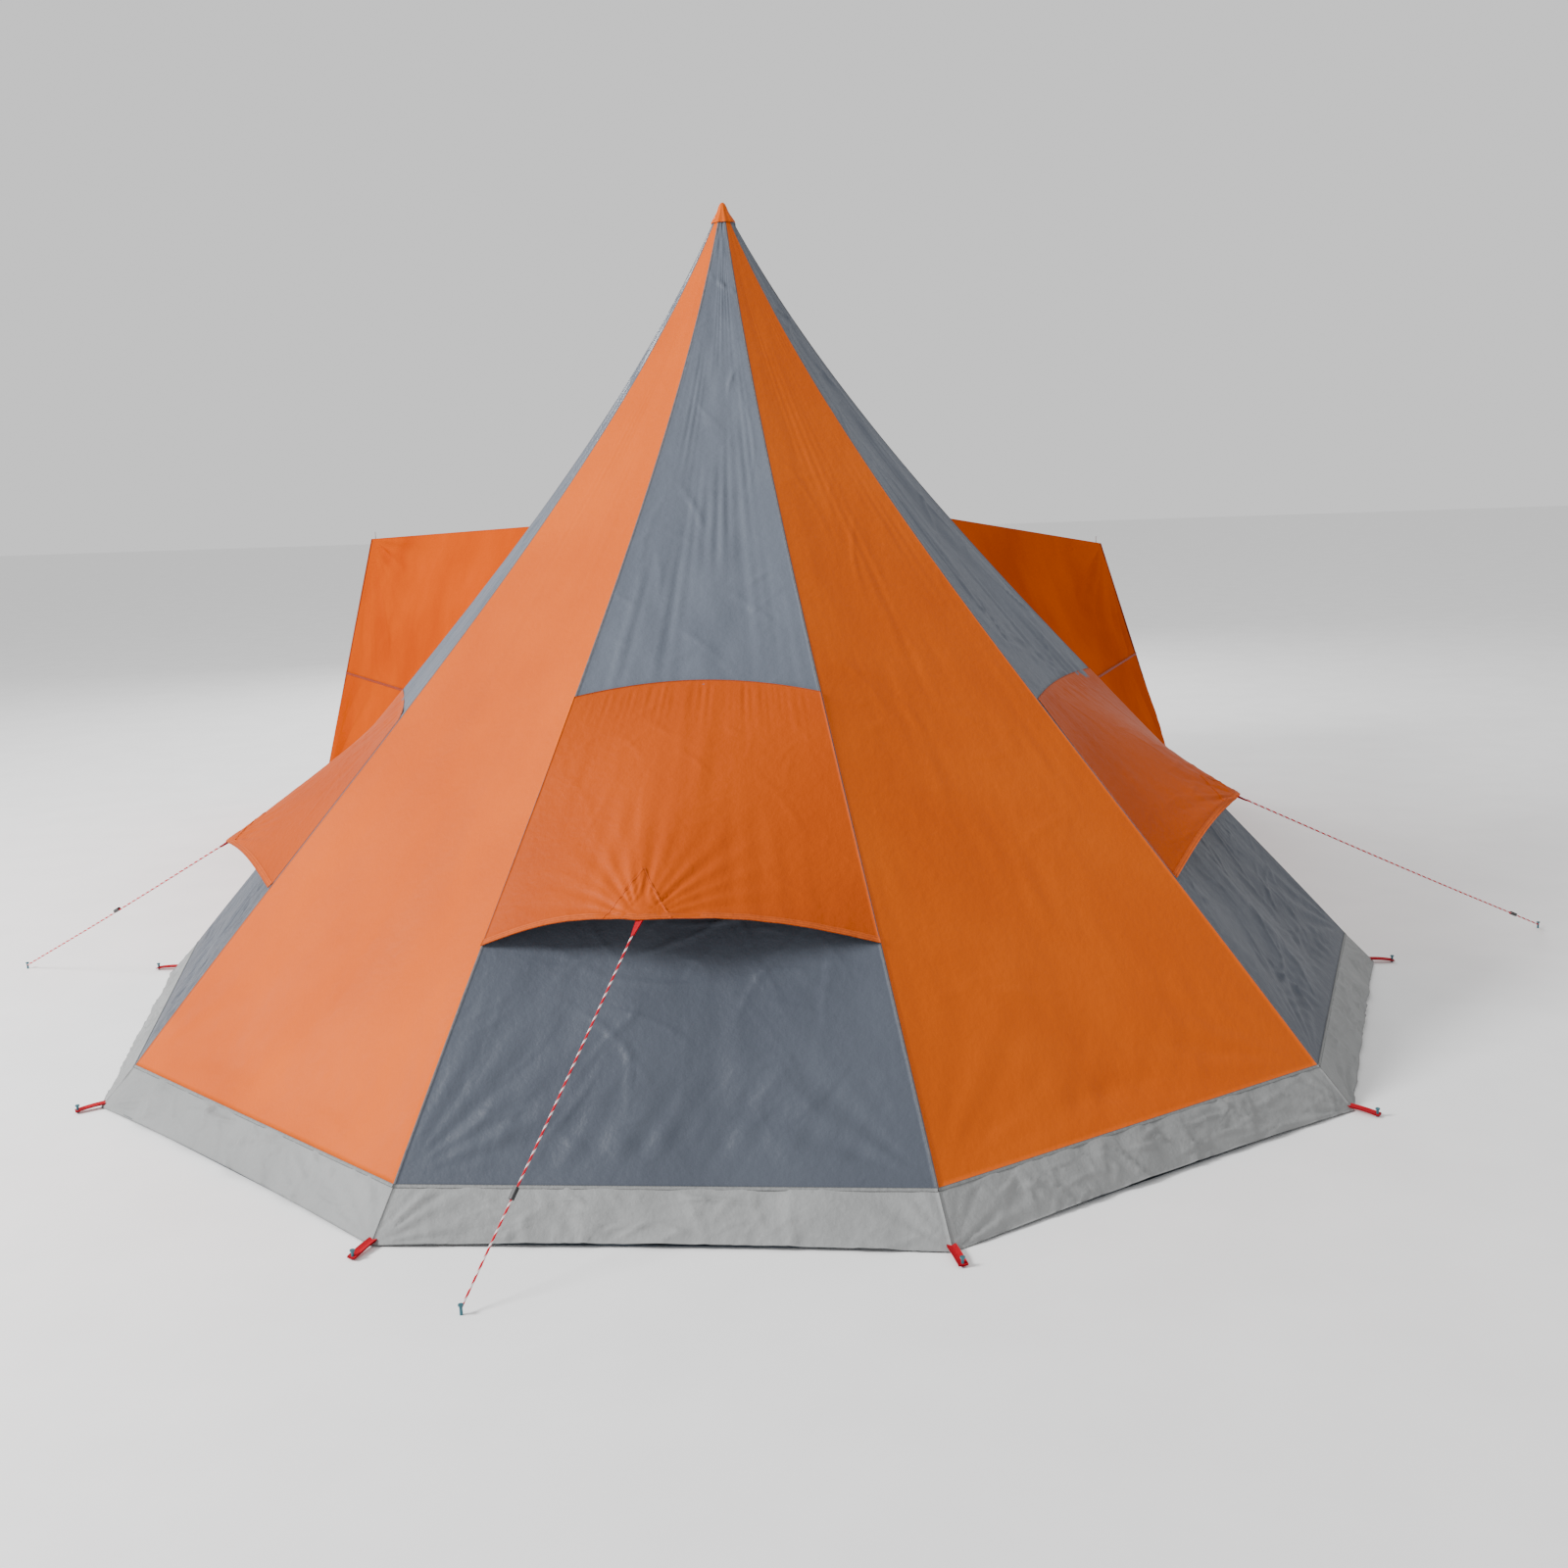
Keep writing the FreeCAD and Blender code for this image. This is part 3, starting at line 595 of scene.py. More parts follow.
# --- vent hoods ---------------------------------------------------------------------
def hood_grid(side, seed, rows=110, cols=121):
    """Hood: on the seams at both sides, pulled out to the guyed tip at its lower edge."""
    middle = HOODS[side][0]
    tip = hood_tip(side)
    out, across = ray(middle), ray(middle + 90.0)
    v = np.linspace(0, 1, rows)[:, None] * np.ones((1, cols))
    u = np.linspace(-1, 1, cols)[None, :] * np.ones((rows, 1))
    arch = VENT_ARCH[side] * (1 - u * u) * (1 - v)
    z = VENT_TOPS[side] + (VENT_BOTTOM - VENT_TOPS[side]) * v + arch
    radius = seam_radius(z)
    half = radius * math.sin(HALF)
    base = out * (radius * math.cos(HALF))[..., None] + across * (u * half)[..., None]
    base[..., 2] = z
    low_half = seam_radius(VENT_BOTTOM) * math.sin(HALF)
    tip_u = float(tip @ across) / low_half * 0.6
    foot = (out * seam_radius(VENT_BOTTOM) * math.cos(HALF) + across * tip_u * low_half
            + np.array([0, 0, VENT_BOTTOM]))
    away = np.where(u < tip_u, (tip_u - u) / (1 + tip_u), (u - tip_u) / (1 - tip_u))
    blunt = (0.03 + 0.9 * (1 - v)) * 0.4      # the ridge to the tip is blunter higher up
    sharp = np.sqrt(away ** 2 + blunt ** 2) - blunt
    rim = np.sqrt(1 + blunt ** 2) - blunt
    peak = 1 - sharp / rim
    grow = v ** 1.25
    shape = base + (peak * grow)[..., None] * (tip - foot)
    shape[..., 2] += 0.030 * np.sin(np.pi * np.clip(away, 0, 1)) * v ** 4
    n = normals_of(shape)
    n *= np.sign(n @ out).mean() or 1.0
    x, y = u * half, (1 - v) * 0.9
    edge = np.clip(1 - u * u, 0, 1) ** 0.6
    folds = radiating(x, y, (tip_u * low_half, 0.0), seed, 9, 0.24) * 0.0060
    folds += ripples(u, v, seed + 3, 10, (2.0, 7.0), (0.1, 1.0)) * 0.0016 * patches(u, v, seed + 4)
    folds += ripples(u, v, seed + 6, 6, (9.0, 22.0), (0.1, 0.6)) * 0.0015 * np.exp(-(v / 0.16) ** 2)
    folds += creases(x, y, seed + 5, 60, (0.03, 0.14), (0.004, 0.010), (-0.6, 0.6, 0, 0.9)) * 0.0024
    hem = 0.003 * np.exp(-((1 - v) / 0.02) ** 2)
    hang = (PANEL_BOW * (1 - u * u) * half + 0.13 * VENT_ARCH[side]) * np.clip(1 - 2.5 * v, 0, 1)
    depth = folds * edge * np.clip(v * 20, 0, 1) + HOOD_STAND_OFF + hem + hang
    return shape + n * depth[..., None]


def facing(grid, direction):
    """The grid, turned over if it doesn't face direction."""
    middle = normals_of(grid)[grid.shape[0] // 2, grid.shape[1] // 2]
    return grid if middle @ np.asarray(direction, float) > 0 else grid[:, ::-1]


def edge_strip(line, inward, normal, width, lift):
    """Grid of a narrow strip that follows line and runs width times inward away from it."""
    steps = np.linspace(0, 1, 5)[None, :, None]
    bulge = np.sin(np.pi * np.linspace(0, 1, 5))[None, :, None] * 0.4 + 1.0
    return line[:, None] + inward[:, None] * steps * width + normal[:, None] * lift * bulge


def sample(grid, u, v):
    """Points of a grid at fractional places; u and v run from 0 to 1 across and down."""
    rows, cols = grid.shape[:2]
    y, x = np.clip(v, 0, 1) * (rows - 1), np.clip(u, 0, 1) * (cols - 1)
    i, j = np.minimum(y.astype(int), rows - 2), np.minimum(x.astype(int), cols - 2)
    a, b = (y - i)[..., None], (x - j)[..., None]
    upper = grid[i, j] * (1 - b) + grid[i, j + 1] * b
    lower = grid[i + 1, j] * (1 - b) + grid[i + 1, j + 1] * b
    return upper * (1 - a) + lower * a


def tip_patch(grid, tip):
    """Three-cornered reinforcement at the guyed tip, with the stitching along its sides."""
    nearest = np.linalg.norm(grid[-1] - tip, axis=-1).argmin() / (grid.shape[1] - 1)
    n = normals_of(grid)
    k = np.linspace(0, 1, 40)[:, None]
    v = 0.80 + 0.198 * k
    pieces = []
    spans = [((-0.07 * k + 0.004 * (1 - k)), (0.10 * k + 0.008 * (1 - k)), 0.0012),
             (-0.07 * k - 0.0015, -0.07 * k + 0.0015, 0.0022),
             (0.10 * k - 0.0015, 0.10 * k + 0.0015, 0.0022)]
    for start, end, lift in spans:
        step = np.linspace(0, 1, 25)[None]
        u = nearest + 0.02 * (1 - k) + start * (1 - step) + end * step
        place = sample(grid, u, v * np.ones_like(u))
        pieces.append(place + sample(n, u, v * np.ones_like(u)) * lift)
    return pieces


def make_hoods():
    for side, seed in (("rear", 61), ("left", 62), ("right", 63)):
        out = ray(HOODS[side][0])
        grid = facing(hood_grid(side, seed), out)
        tent_piece(side + "_hood_cloth", [grid], HOOD_ORANGE, [side + "_vent_hood"],
                   slot="orange_cloth")
        n = normals_of(grid)
        top, low = grid[0], grid[-1]
        inward = grid[-4] - low
        inward = inward / np.linalg.norm(inward, axis=-1, keepdims=True)
        down = np.tile([0, 0, -1.0], (len(top), 1))
        trims = [edge_strip(low, inward, n[-1], 0.022, 0.0016),
                 edge_strip(top, down, n[1], 0.014, 0.0016)]
        trims = [facing(t, out) for t in trims]
        patch, *stitching = tip_patch(grid, hood_tip(side))
        trims += stitching
        hem = make_sheet(side + "_hood_hem", trims, ORANGE_SEAM, 0.0012)
        panel = make_sheet(side + "_hood_tip_patch", [facing(patch, out)], HOOD_ORANGE, 0.0009)
        for piece in (hem, panel):
            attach(piece, "tent")


# --- seams --------------------------------------------------------------------------
def seam_line(angle, low, high, rows=220):
    z = np.linspace(low, high, rows)
    line = ray(angle)[None, :] * seam_radius(z)[:, None]
    line[:, 2] = z
    return line


def make_seams():
    """Felled seam over each gore edge: a narrow raised strip that bends over the corner."""
    for i in range(GORES):
        angle = (i + 0.5) * GORE_ANGLE
        line = seam_line(angle, SKIRT_HEIGHT - 0.004, GORE_TOP - 0.01)
        out, side = ray(angle), ray(angle + 90.0)
        offsets = np.array([-0.0055, -0.0035, -0.0012, 0.0, 0.0012, 0.0035, 0.0055])
        raise_by = np.array([0.0004, 0.0016, 0.0022, 0.0026, 0.0022, 0.0016, 0.0004])
        inset = np.abs(offsets) * math.tan(HALF)
        grid = (line[:, None] + side[None, None] * offsets[None, :, None]
                + out[None, None] * (raise_by - inset)[None, :, None])
        strip = make_sheet("seam_%02d" % i, [facing(grid, out)], GREY_SEAM, 0.001)
        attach(strip, "tent")


# --- skirt, floor, apex -------------------------------------------------------------
def skirt_normal(out):
    return unit(out * 0.71 + np.array([0, 0, 0.70]))


def skirt_grid(middle, seed, rows=26, cols=121):
    """Skirt panel of one gore, from its pegged lower corners up to the tent's wall."""
    w = np.linspace(1, 0, rows)[:, None] * np.ones((1, cols))
    u = np.linspace(-1, 1, cols)[None, :] * np.ones((rows, 1))
    radius = SEAM_FOOT_RADIUS + (STAKE_RADIUS - 0.004 - SEAM_FOOT_RADIUS) * w
    out, side = ray(middle), ray(middle + 90.0)
    edge = 1 - u * u
    lift = 0.016 * edge * w
    grid = (out * (radius * math.cos(HALF))[..., None]
            + side * (u * radius * math.sin(HALF))[..., None])
    grid[..., 2] = SKIRT_HEIGHT * (1 - w) + 0.003 * w + lift
    x = u * radius * math.sin(HALF)
    y = (1 - w) * SKIRT_SLANT
    corner = sum(radiating(x, y, (s * STAKE_RADIUS * math.sin(HALF), 0.0), seed + s, 7, 0.22)
                 for s in (-1, 1)) * 0.013
    waves = ripples(u, w, seed + 5, 10, (1.5, 6.0), (0.05, 0.5)) * 0.0055
    wrinkles = creases(x, y, seed + 6, 90, (0.02, 0.10), (0.003, 0.009),
                       (-0.75, 0.75, 0, SKIRT_SLANT)) * 0.0070
    belly = 0.004 * np.sin(np.pi * w) * edge - 0.006 * edge * w
    depth = belly + (corner + waves + wrinkles) * edge ** 0.4 * np.clip(w * 5, 0, 1)
    grid = grid + skirt_normal(out) * (depth + 0.001)[..., None]
    grid[..., 2] = np.maximum(grid[..., 2], 0.002)
    return grid


def make_skirt():
    grids = [facing(skirt_grid(i * GORE_ANGLE, 900 + 13 * i), ray(i * GORE_ANGLE))
             for i in range(GORES)]
    tent_piece("mud_skirt_cloth", grids, SKIRT, ["mud_skirt"], slot="skirt_cloth")
    hems = []
    for i in range(GORES):
        out = ray(i * GORE_ANGLE)
        top = grids[i][-1]
        n = np.tile(skirt_normal(out), (len(top), 1))
        down = np.tile(np.array([0, 0, -1.0]) + out * 0.9, (len(top), 1))
        hems.append(facing(edge_strip(top, down, n, 0.008, 0.0016), out))
    hem = make_sheet("skirt_top_seam", hems, SKIRT_SEAM, 0.001)
    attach(hem, "tent")


def make_groundsheet():
    """Floor with a low turned-up edge just inside the skirt."""
    steps = 40
    rings = [(0.0, 0.0015), (0.6, 0.0015), (1.2, 0.0015), (1.8, 0.0015), (2.25, 0.0015),
             (2.42, 0.0015), (2.466, 0.002), (2.482, 0.005), (2.487, 0.010)]
    angles = np.linspace(0, 360, GORES * steps + 1)
    columns = []
    for angle in angles:
        off = (angle + GORE_ANGLE / 2) % GORE_ANGLE - GORE_ANGLE / 2
        flat = math.cos(HALF) / math.cos(math.radians(off))
        columns.append([ray(angle) * r * flat + np.array([0, 0, z]) for r, z in rings])
    grid = np.array(columns).transpose(1, 0, 2)
    x, y = grid[..., 0], grid[..., 1]
    ripple = creases(x, y, 71, 160, (0.05, 0.3), (0.006, 0.02), (-2.3, 2.3, -2.3, 2.3)) * 0.002
    ripple *= (np.hypot(x, y) > 0.1) & (np.hypot(x, y) < 2.2)
    grid[..., 2] += ripple
    grid = facing(grid, (0, 0, 1))
    sheet = make_sheet("groundsheet_cloth", [grid], FLOOR_SHEET, 0.001)
    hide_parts("groundsheet")
    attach(sheet, "tent")


def make_apex():
    """Pointed cap over the gore tops, with a sewn lower edge."""
    profile = [(0.0435, 2.925), (0.0445, 2.928), (0.0430, 2.931), (0.0360, 2.942),
               (0.0270, 2.956), (0.0205, 2.968), (0.0170, 2.978), (0.0145, 2.986),
               (0.0105, 2.994), (0.0055, 2.999), (0.0004, 3.0)]
    pleated_rings = 7
    angles = np.linspace(0, 360, 81)
    grid = np.zeros((len(profile), len(angles), 3))
    for i, (r, z) in enumerate(profile):
        for j, angle in enumerate(angles):
            off = (angle + GORE_ANGLE / 2) % GORE_ANGLE - GORE_ANGLE / 2
            pleat = 1 - 0.05 * math.cos(math.radians(off * 10)) * (i < pleated_rings)
            grid[i, j] = ray(angle) * r * pleat + np.array([0, 0, z])
    grid = facing(grid, ray(180.0))
    cap = make_sheet("apex_cap_cloth", [grid], ORANGE)
    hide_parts("apex_cap")
    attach(cap, "tent")


# --- door ---------------------------------------------------------------------------
def make_door():
    """Two leaves that meet at the zip."""
    low, high = SKIRT_HEIGHT + 0.004, DOOR_TOP - 0.004
    rise = np.array([0, DOOR_PLANE_TOP - DOOR_PLANE_FOOT, high - low])
    for side, s in (("left", 1), ("right", -1)):
        rows, cols = 120, 57
        v = np.linspace(0, 1, rows)[:, None] * np.ones((1, cols))
        a = np.linspace(0, 1, cols)[None, :] * np.ones((rows, 1))
        straight = HINGE_FOOT + (HINGE_TOP - HINGE_FOOT) * v
        x = s * (0.002 + a * (straight - 0.004 - 0.002))
        grid = np.stack([x, DOOR_PLANE_FOOT + rise[1] * v, low + rise[2] * v], -1)
        edge = np.clip(4 * a * (1 - a), 0, 1) ** 0.5 * np.clip(8 * v * (1 - v), 0, 1) ** 0.5
        folds = ripples(a, v, 810 + s, 10, (0.5, 3.0), (0.2, 1.2)) * 0.006
        folds += creases(x, v * 1.8, 820 + s, 50, (0.03, 0.14), (0.004, 0.012),
                         (-0.75, 0.75, 0, 1.8)) * 0.002
        n = unit(np.cross([1, 0, 0], rise))
        grid = facing(grid + n * ((folds - 0.004) * edge)[..., None], n)
        tent_piece("door_leaf_%s_cloth" % side, [grid], ORANGE, ["door_leaf_" + side],
                   "door_" + side, slot="orange_cloth")


def door_plane(z):
    """Y of the door's flat plane and its half width at height z."""
    share = (z - SKIRT_HEIGHT) / (AWNING_LINE - SKIRT_HEIGHT)
    radius = SEAM_FOOT_RADIUS + share * (seam_radius(AWNING_LINE) - SEAM_FOOT_RADIUS)
    return -radius * math.cos(HALF), radius * math.sin(HALF)


DOOR_PLANE_FOOT, HINGE_FOOT = door_plane(SKIRT_HEIGHT + 0.004)
DOOR_PLANE_TOP, HINGE_TOP = door_plane(DOOR_TOP - 0.004)


# --- awning -------------------------------------------------------------------------
def awning_tip(s):
    return np.array([AWNING_SHIFT + s * AWNING_TIP_HALF, -AWNING_REACH, AWNING_TIP_HEIGHTS[s]])


def wing_foot(s):
    return np.array([AWNING_SHIFT + s * AWNING_FOOT_HALF, -AWNING_REACH, 0.0])


def seam_at(angle, z, out=0.006):
    p = ray(angle) * (seam_radius(z) + out)
    p[2] = z
    return p


def spaced(a, b, count):
    t = np.linspace(0, 1, count)[:, None]
    return a + (b - a) * t


def make_roof():
    rows, cols = 110, 161
    corners = [seam_at(AWNING_ANGLE + GORE_ANGLE * i, AWNING_LINE) for i in range(4)]
    stops = np.array([0.0, 0.33, 0.67, 1.0])
    t = np.linspace(0, 1, cols)
    rear = np.stack([np.interp(t, stops, [c[k] for c in corners]) for k in range(3)], -1)
    front = spaced(awning_tip(1), awning_tip(-1), cols)
    front[:, 2] -= 0.075 * np.sin(np.pi * t) ** 0.8
    front[:, 1] += 0.16 * np.sin(np.pi * t)
    v = np.linspace(0, 1, rows)[:, None, None]
    grid = rear[None] * (1 - v) + front[None] * v
    share = v[..., 0] ** (1 + 0.45 * np.sin(np.pi * t))[None]
    grid[..., 2] = rear[None, :, 2] * (1 - share) + front[None, :, 2] * share
    vv, tt = v[..., 0] * np.ones((1, cols)), np.ones((rows, 1)) * t[None]
    grid[..., 2] -= 0.03 * np.sin(np.pi * vv) * vv * np.sin(np.pi * tt) ** 0.7
    x, y = grid[..., 0], grid[..., 1]
    folds = sum(radiating(x, y, awning_tip(s)[:2], 501 + s, 9, 1.5) for s in (-1, 1)) * 0.034
    folds += ripples(tt, vv, 503, 10, (1.5, 5.0), (0.3, 1.6)) * 0.005
    folds += creases(x, y, 504, 120, (0.05, 0.25), (0.006, 0.014), (-2, 3, -3.7, -1)) * 0.004
    edge = np.clip(vv * 2.5 - 0.5, 0, 1) * np.clip((1 - vv) * 14, 0, 1)
    edge *= np.clip(tt * 12, 0, 1) * np.clip((1 - tt) * 12, 0, 1)
    grid[..., 2] += folds * edge
    grid = facing(grid, (0, 0, 1))
    tent_piece("awning_roof_cloth", [grid], AWNING, ["awning_roof"], slot="awning_cloth")


def wing_patch(corners, seed, rows, cols, folds_from, bow):
    """Patch between four corners: rear top, front top, front low, rear low."""
    rt, ft, fl, rl = corners
    v = np.linspace(0, 1, rows)[:, None, None]
    t = np.linspace(0, 1, cols)[None, :, None]
    grid = (rt * (1 - t) + ft * t) * (1 - v) + (rl * (1 - t) + fl * t) * v
    vv, tt = v[..., 0] * np.ones((1, cols)), np.ones((rows, 1)) * t[..., 0]
    n = unit(np.cross(ft - rl, rt - fl))
    along = unit(ft - rt)
    x = (grid - rt) @ along
    y = grid[..., 2]
    origin = ((folds_from - rt) @ along, folds_from[2])
    folds = radiating(x, y, origin, seed, 10, 1.2) * 0.036
    folds += ripples(tt, vv, seed + 2, 9, (0.8, 3.5), (0.2, 1.5)) * 0.005
    folds += creases(x, y, seed + 4, 110, (0.04, 0.18), (0.005, 0.014), (0, 3.8, 0, 1.8)) * 0.004
    edge = np.clip(tt * 14, 0, 1) * np.clip((1 - tt) * 20, 0, 1)
    edge *= np.clip(vv * 14, 0, 1) * np.clip((1 - vv) * 14, 0, 1)
    belly = bow * np.sin(np.pi * tt) * np.sin(np.pi * vv)
    return grid + n * (folds * edge + belly)[..., None]


def make_wings():
    for side, s in (("left", 1), ("right", -1)):
        angle = s * AWNING_ANGLE
        top = seam_at(angle, AWNING_LINE - 0.001)
        tip = awning_tip(s) - np.array([0, 0, 0.001])
        foot = wing_foot(s)
        share = (AWNING_TIP_HEIGHTS[s] - WING_SEAM_AT_TIP) / AWNING_TIP_HEIGHTS[s]
        outer = awning_tip(s) * (1 - share) + foot * share
        inner = seam_at(angle, WING_SEAM_AT_TENT)
        corner = ray(angle) * STAKE_RADIUS
        heel = corner + unit(foot - corner) * 0.06
        away = np.array([s * 0.85, 0.4, 0])
        upper = facing(wing_patch((top, tip, outer, inner), 530 + s, 80, 130, tip, -0.03), away)
        lower = facing(wing_patch((inner, outer, foot + [0, 0, 0.002], heel + [0, 0, 0.002]),
                                  540 + s, 80, 130, foot, -0.02), away)
        tent_piece("awning_wing_upper_%s_cloth" % side, [upper], AWNING,
                   ["awning_wing_upper_" + side], slot="awning_cloth")
        tent_piece("awning_wing_lower_%s_cloth" % side, [lower], AWNING,
                   ["awning_wing_lower_" + side], slot="awning_cloth")
        seam = spaced(inner, outer, 120)
        n = np.tile(unit(np.cross(tip - inner, top - outer)) * s, (120, 1))
        n *= np.sign(n[0] @ away)
        down = np.tile(np.array([0, 0, -1.0]), (120, 1))
        trims = [edge_strip(seam + down * -0.008, down, n, 0.016, 0.003)]
        front = np.concatenate([spaced(tip, outer, 60), spaced(outer, foot, 60)[1:]])
        back = np.tile(unit(top - tip) * [1, 1, 0], (len(front), 1))
        trims.append(edge_strip(front, back, np.tile(n[0], (len(front), 1)), 0.02, 0.003))
        trims = [facing(t, away) for t in trims]
        hem = make_sheet("awning_wing_hem_" + side, trims, AWNING_SEAM, 0.001)
        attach(hem, "tent")


# --- webbing, guylines --------------------------------------------------------------
def strap_grid(start, end, side, width, rise, rows=24, cols=9):
    """Flat strap from start to end that arches up by rise on the way."""
    t = np.linspace(0, 1, rows)[:, None, None]
    w = np.linspace(-0.5, 0.5, cols)[None, :, None] * width
    grid = start * (1 - t) + end * t + side * w
    grid[..., 2] += (rise * np.sin(np.pi * t[..., 0])) - 0.001 * np.cos(2 * np.pi * w[..., 0] / width)
    return grid


def make_loops():
    """Red loops at the skirt's corners and at the awning's two feet, each of two plies."""
    awning_loop_length = 0.062
    up = np.array([0, 0, 1.0])
    grids = []
    spots = []
    for i in range(GORES):
        out = ray((i + 0.5) * GORE_ANGLE)
        spots.append((out * (STAKE_RADIUS - 0.02), out * (STAKE_RADIUS + LOOP_LENGTH),
                      np.cross(out, [0, 0, 1])))
    for s in (1, -1):
        away = np.array([s * 0.8, -0.6, 0])
        corner = wing_foot(s)
        spots.append((corner, corner + away * awning_loop_length, np.cross(away, [0, 0, 1])))
    for start, end, side in spots:
        for high, low in ((0.0175, 0.0100), (0.0140, 0.0070)):
            grids.append(facing(strap_grid(start + up * high, end + up * low, side, WEBBING,
                                           0.002), up))
    straps = make_sheet("peg_loop_webbing", grids, RED_WEBBING, 0.0014)
    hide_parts("peg_loops")
    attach(straps, "tent")


def guy_ends(side):
    tip = hood_tip(side)
    foot = np.array([*GUY_PEGS[side], PEG_HOLD])
    along = unit(foot - tip)
    start = tip + along * (HOOD_TIP_GAP + GUY_LOOP_LENGTH - 0.006)
    return tip, start, foot, along


def cord_line(name, points):
    """Points along the smooth line of a cord, read from its spline."""
    data = bpy.data.curves.new(name, "CURVE")
    data.dimensions = "3D"
    data.resolution_u = 160
    spline = data.splines.new("NURBS")
    spline.points.add(len(points) - 1)
    for point, place in zip(spline.points, points):
        point.co = (*place, 1.0)
    spline.order_u = 3
    spline.use_endpoint_u = True
    holder = bpy.data.objects.new(name, data)
    bpy.context.scene.collection.objects.link(holder)
    mesh = bpy.data.meshes.new_from_object(holder)
    line = np.array([v.co for v in mesh.vertices], float)
    bpy.data.objects.remove(holder)
    bpy.data.meshes.remove(mesh)
    return line


def braid(name, line, radius, twist=0.036, sides=14):
    """Mesh tube along line with three raised strands that wind round it."""
    steps = np.concatenate([[0], np.cumsum(np.linalg.norm(np.diff(line, axis=0), axis=1))])
    length = steps[-1]
    s = np.linspace(0, length, int(length / 0.002))
    centre = np.stack([np.interp(s, steps, line[:, k]) for k in range(3)], -1)
    along = unit(line[-1] - line[0])
    side = unit(np.cross(along, [0, 0, 1]))
    up = np.cross(side, along)
    turn = np.linspace(0, 2 * np.pi, sides + 1)
    relief = 1 - 0.14 * np.abs(np.sin(turn[None] * 1.5 + s[:, None] / twist * np.pi))
    ring = side * np.cos(turn)[:, None] + up * np.sin(turn)[:, None]
    points = centre[:, None] + ring[None] * (radius * relief)[..., None]
    uv = np.stack([np.ones((len(s), 1)) * turn[None] / (2 * np.pi),
                   s[:, None] * np.ones((1, sides + 1))], -1)
    rows, cols = points.shape[:2]
    faces = grid_faces(rows, cols, 0)
    made = mesh_object(name, points.reshape(-1, 3), faces, uv.reshape(-1, 2), ROPE)
    return made, centre, length


def make_guylines():
    webs = []
    for side in HOODS:
        tip, start, foot, along = guy_ends(side)
        sag = np.array([0, 0, -0.006])
        points = [start, start + along * 0.03, (start + foot) / 2 + sag, foot - along * 0.03, foot]
        line = cord_line("guyline_path_" + side, points)
        rope, centre, length = braid("guyline_braid_" + side, line, GUY_DIAMETER / 2)
        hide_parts("guyline_" + side)
        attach(rope, "tent")
        level = unit(np.cross(along, [0, 0, 1]))
        up = np.cross(level, along)
        for lift in (0.0008, -0.0022):
            rows = np.linspace(0, 1, 16)[:, None, None]
            width = WEBBING * (1 - 0.62 * rows)
            cols = np.linspace(-0.5, 0.5, 9)[None, :, None]
            grid = (tip - along * 0.02) * (1 - rows) + (start + along * 0.004) * rows
            webs.append(facing(grid + level * cols * width + up * lift, up))
    piece = make_sheet("hood_guy_webbing", webs, RED_WEBBING, 0.0014)
    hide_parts("hood_guy_loops")
    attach(piece, "tent")


# --- stage --------------------------------------------------------------------------
FLOOR_HALF = 60.0                # half the side of the square studio floor
SKY_BRIGHTNESS = 0.9
LIGHT_TARGET = (0, 0, 1.2)
LIGHTS = {                       # place, size of the disk and power in watts
    "key_light": ((9.0, 5.0, 7.0), 3.5, 2300.0),
    "front_light": ((2.0, -10.0, 6.0), 6.0, 700.0),
}


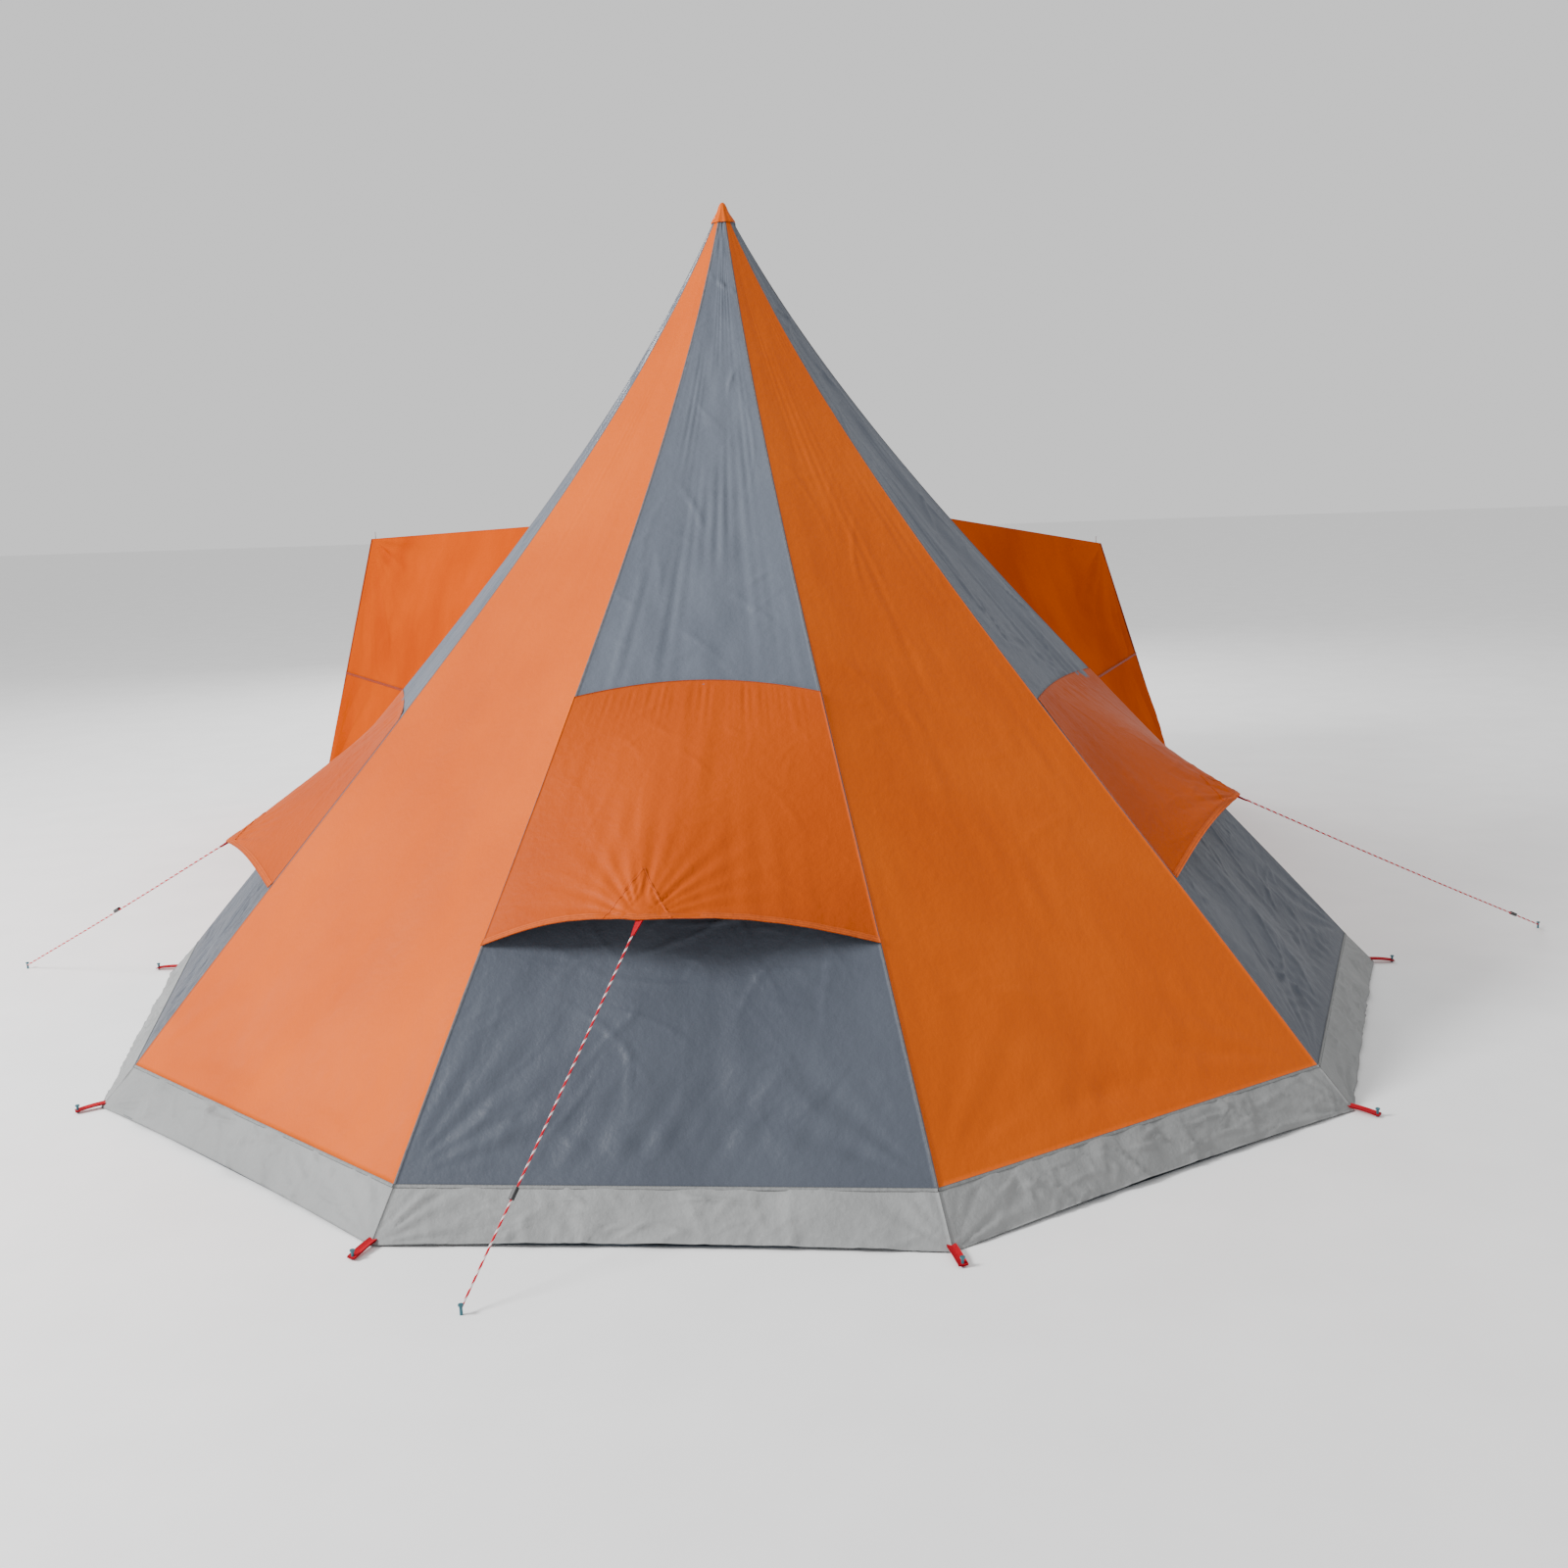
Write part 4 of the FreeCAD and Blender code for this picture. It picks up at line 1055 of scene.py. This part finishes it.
def area_light(name, place, target, size, power):
    data = bpy.data.lights.new(name, "AREA")
    data.shape = "DISK"
    data.size = size
    data.energy = power
    lamp = bpy.data.objects.new(name, data)
    bpy.context.scene.collection.objects.link(lamp)
    back = unit(np.array(place) - np.array(target))
    side = unit(np.cross([0, 0, 1.0], back))
    up = np.cross(back, side)
    lamp.matrix_world = Matrix([[float(side[i]), float(up[i]), float(back[i]), float(place[i])]
                                for i in range(3)] + [[0, 0, 0, 1]])


def make_stage():
    material, tree, shader = new_material("studio_floor")
    place = node(tree, "ShaderNodeTexCoord").outputs["Object"]
    grain = noise(tree, place, 3.0)
    tree.links.new(ramp(tree, grain, (0.84, 0.84, 0.84), (0.88, 0.88, 0.88)),
                   shader.inputs["Base Color"])
    shader.inputs["Roughness"].default_value = 0.9
    h = FLOOR_HALF
    mesh = bpy.data.meshes.new("studio_floor")
    mesh.from_pydata([(-h, -h, 0), (h, -h, 0), (h, h, 0), (-h, h, 0)], [], [(0, 1, 2, 3)])
    mesh.materials.append(material)
    floor = bpy.data.objects.new("studio_floor", mesh)
    bpy.context.scene.collection.objects.link(floor)
    world = bpy.data.worlds.new("studio")
    bpy.context.scene.world = world
    world.use_nodes = True
    background = world.node_tree.nodes["Background"]
    background.inputs["Color"].default_value = (1, 1, 1, 1)
    background.inputs["Strength"].default_value = SKY_BRIGHTNESS
    for name, (spot, size, power) in LIGHTS.items():
        area_light(name, spot, LIGHT_TARGET, size, power)


def dress_nodes():
    """Materials of the CAD nodes that stay in view."""
    looks = {"centre_pole_lower": POLE, "centre_pole_middle": POLE, "centre_pole_upper": POLE,
             "centre_pole_foot": BLACK, "centre_pole_plug": BLACK, "awning_pole_feet": BLACK,
             "awning_pole_spikes": STEEL, "corner_pegs": PEG, "guyline_pegs": PEG,
             "zip_slider": ZIP_METAL, "zip_puller": ZIP_METAL, "zip_tape_left": ZIP_TAPE,
             "zip_tape_right": ZIP_TAPE}
    for side in ("left", "right"):
        looks["awning_pole_lower_" + side] = POLE
        looks["awning_pole_upper_" + side] = POLE
    for side in HOODS:
        looks["guyline_runner_" + side] = BLACK
    for name, material in looks.items():
        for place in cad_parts[name].material_slots:
            place.material = material


make_guylines()
make_gores()
make_hoods()
make_seams()
make_skirt()
make_groundsheet()
make_apex()
make_door()
make_roof()
make_wings()
make_loops()
dress_nodes()
make_stage()
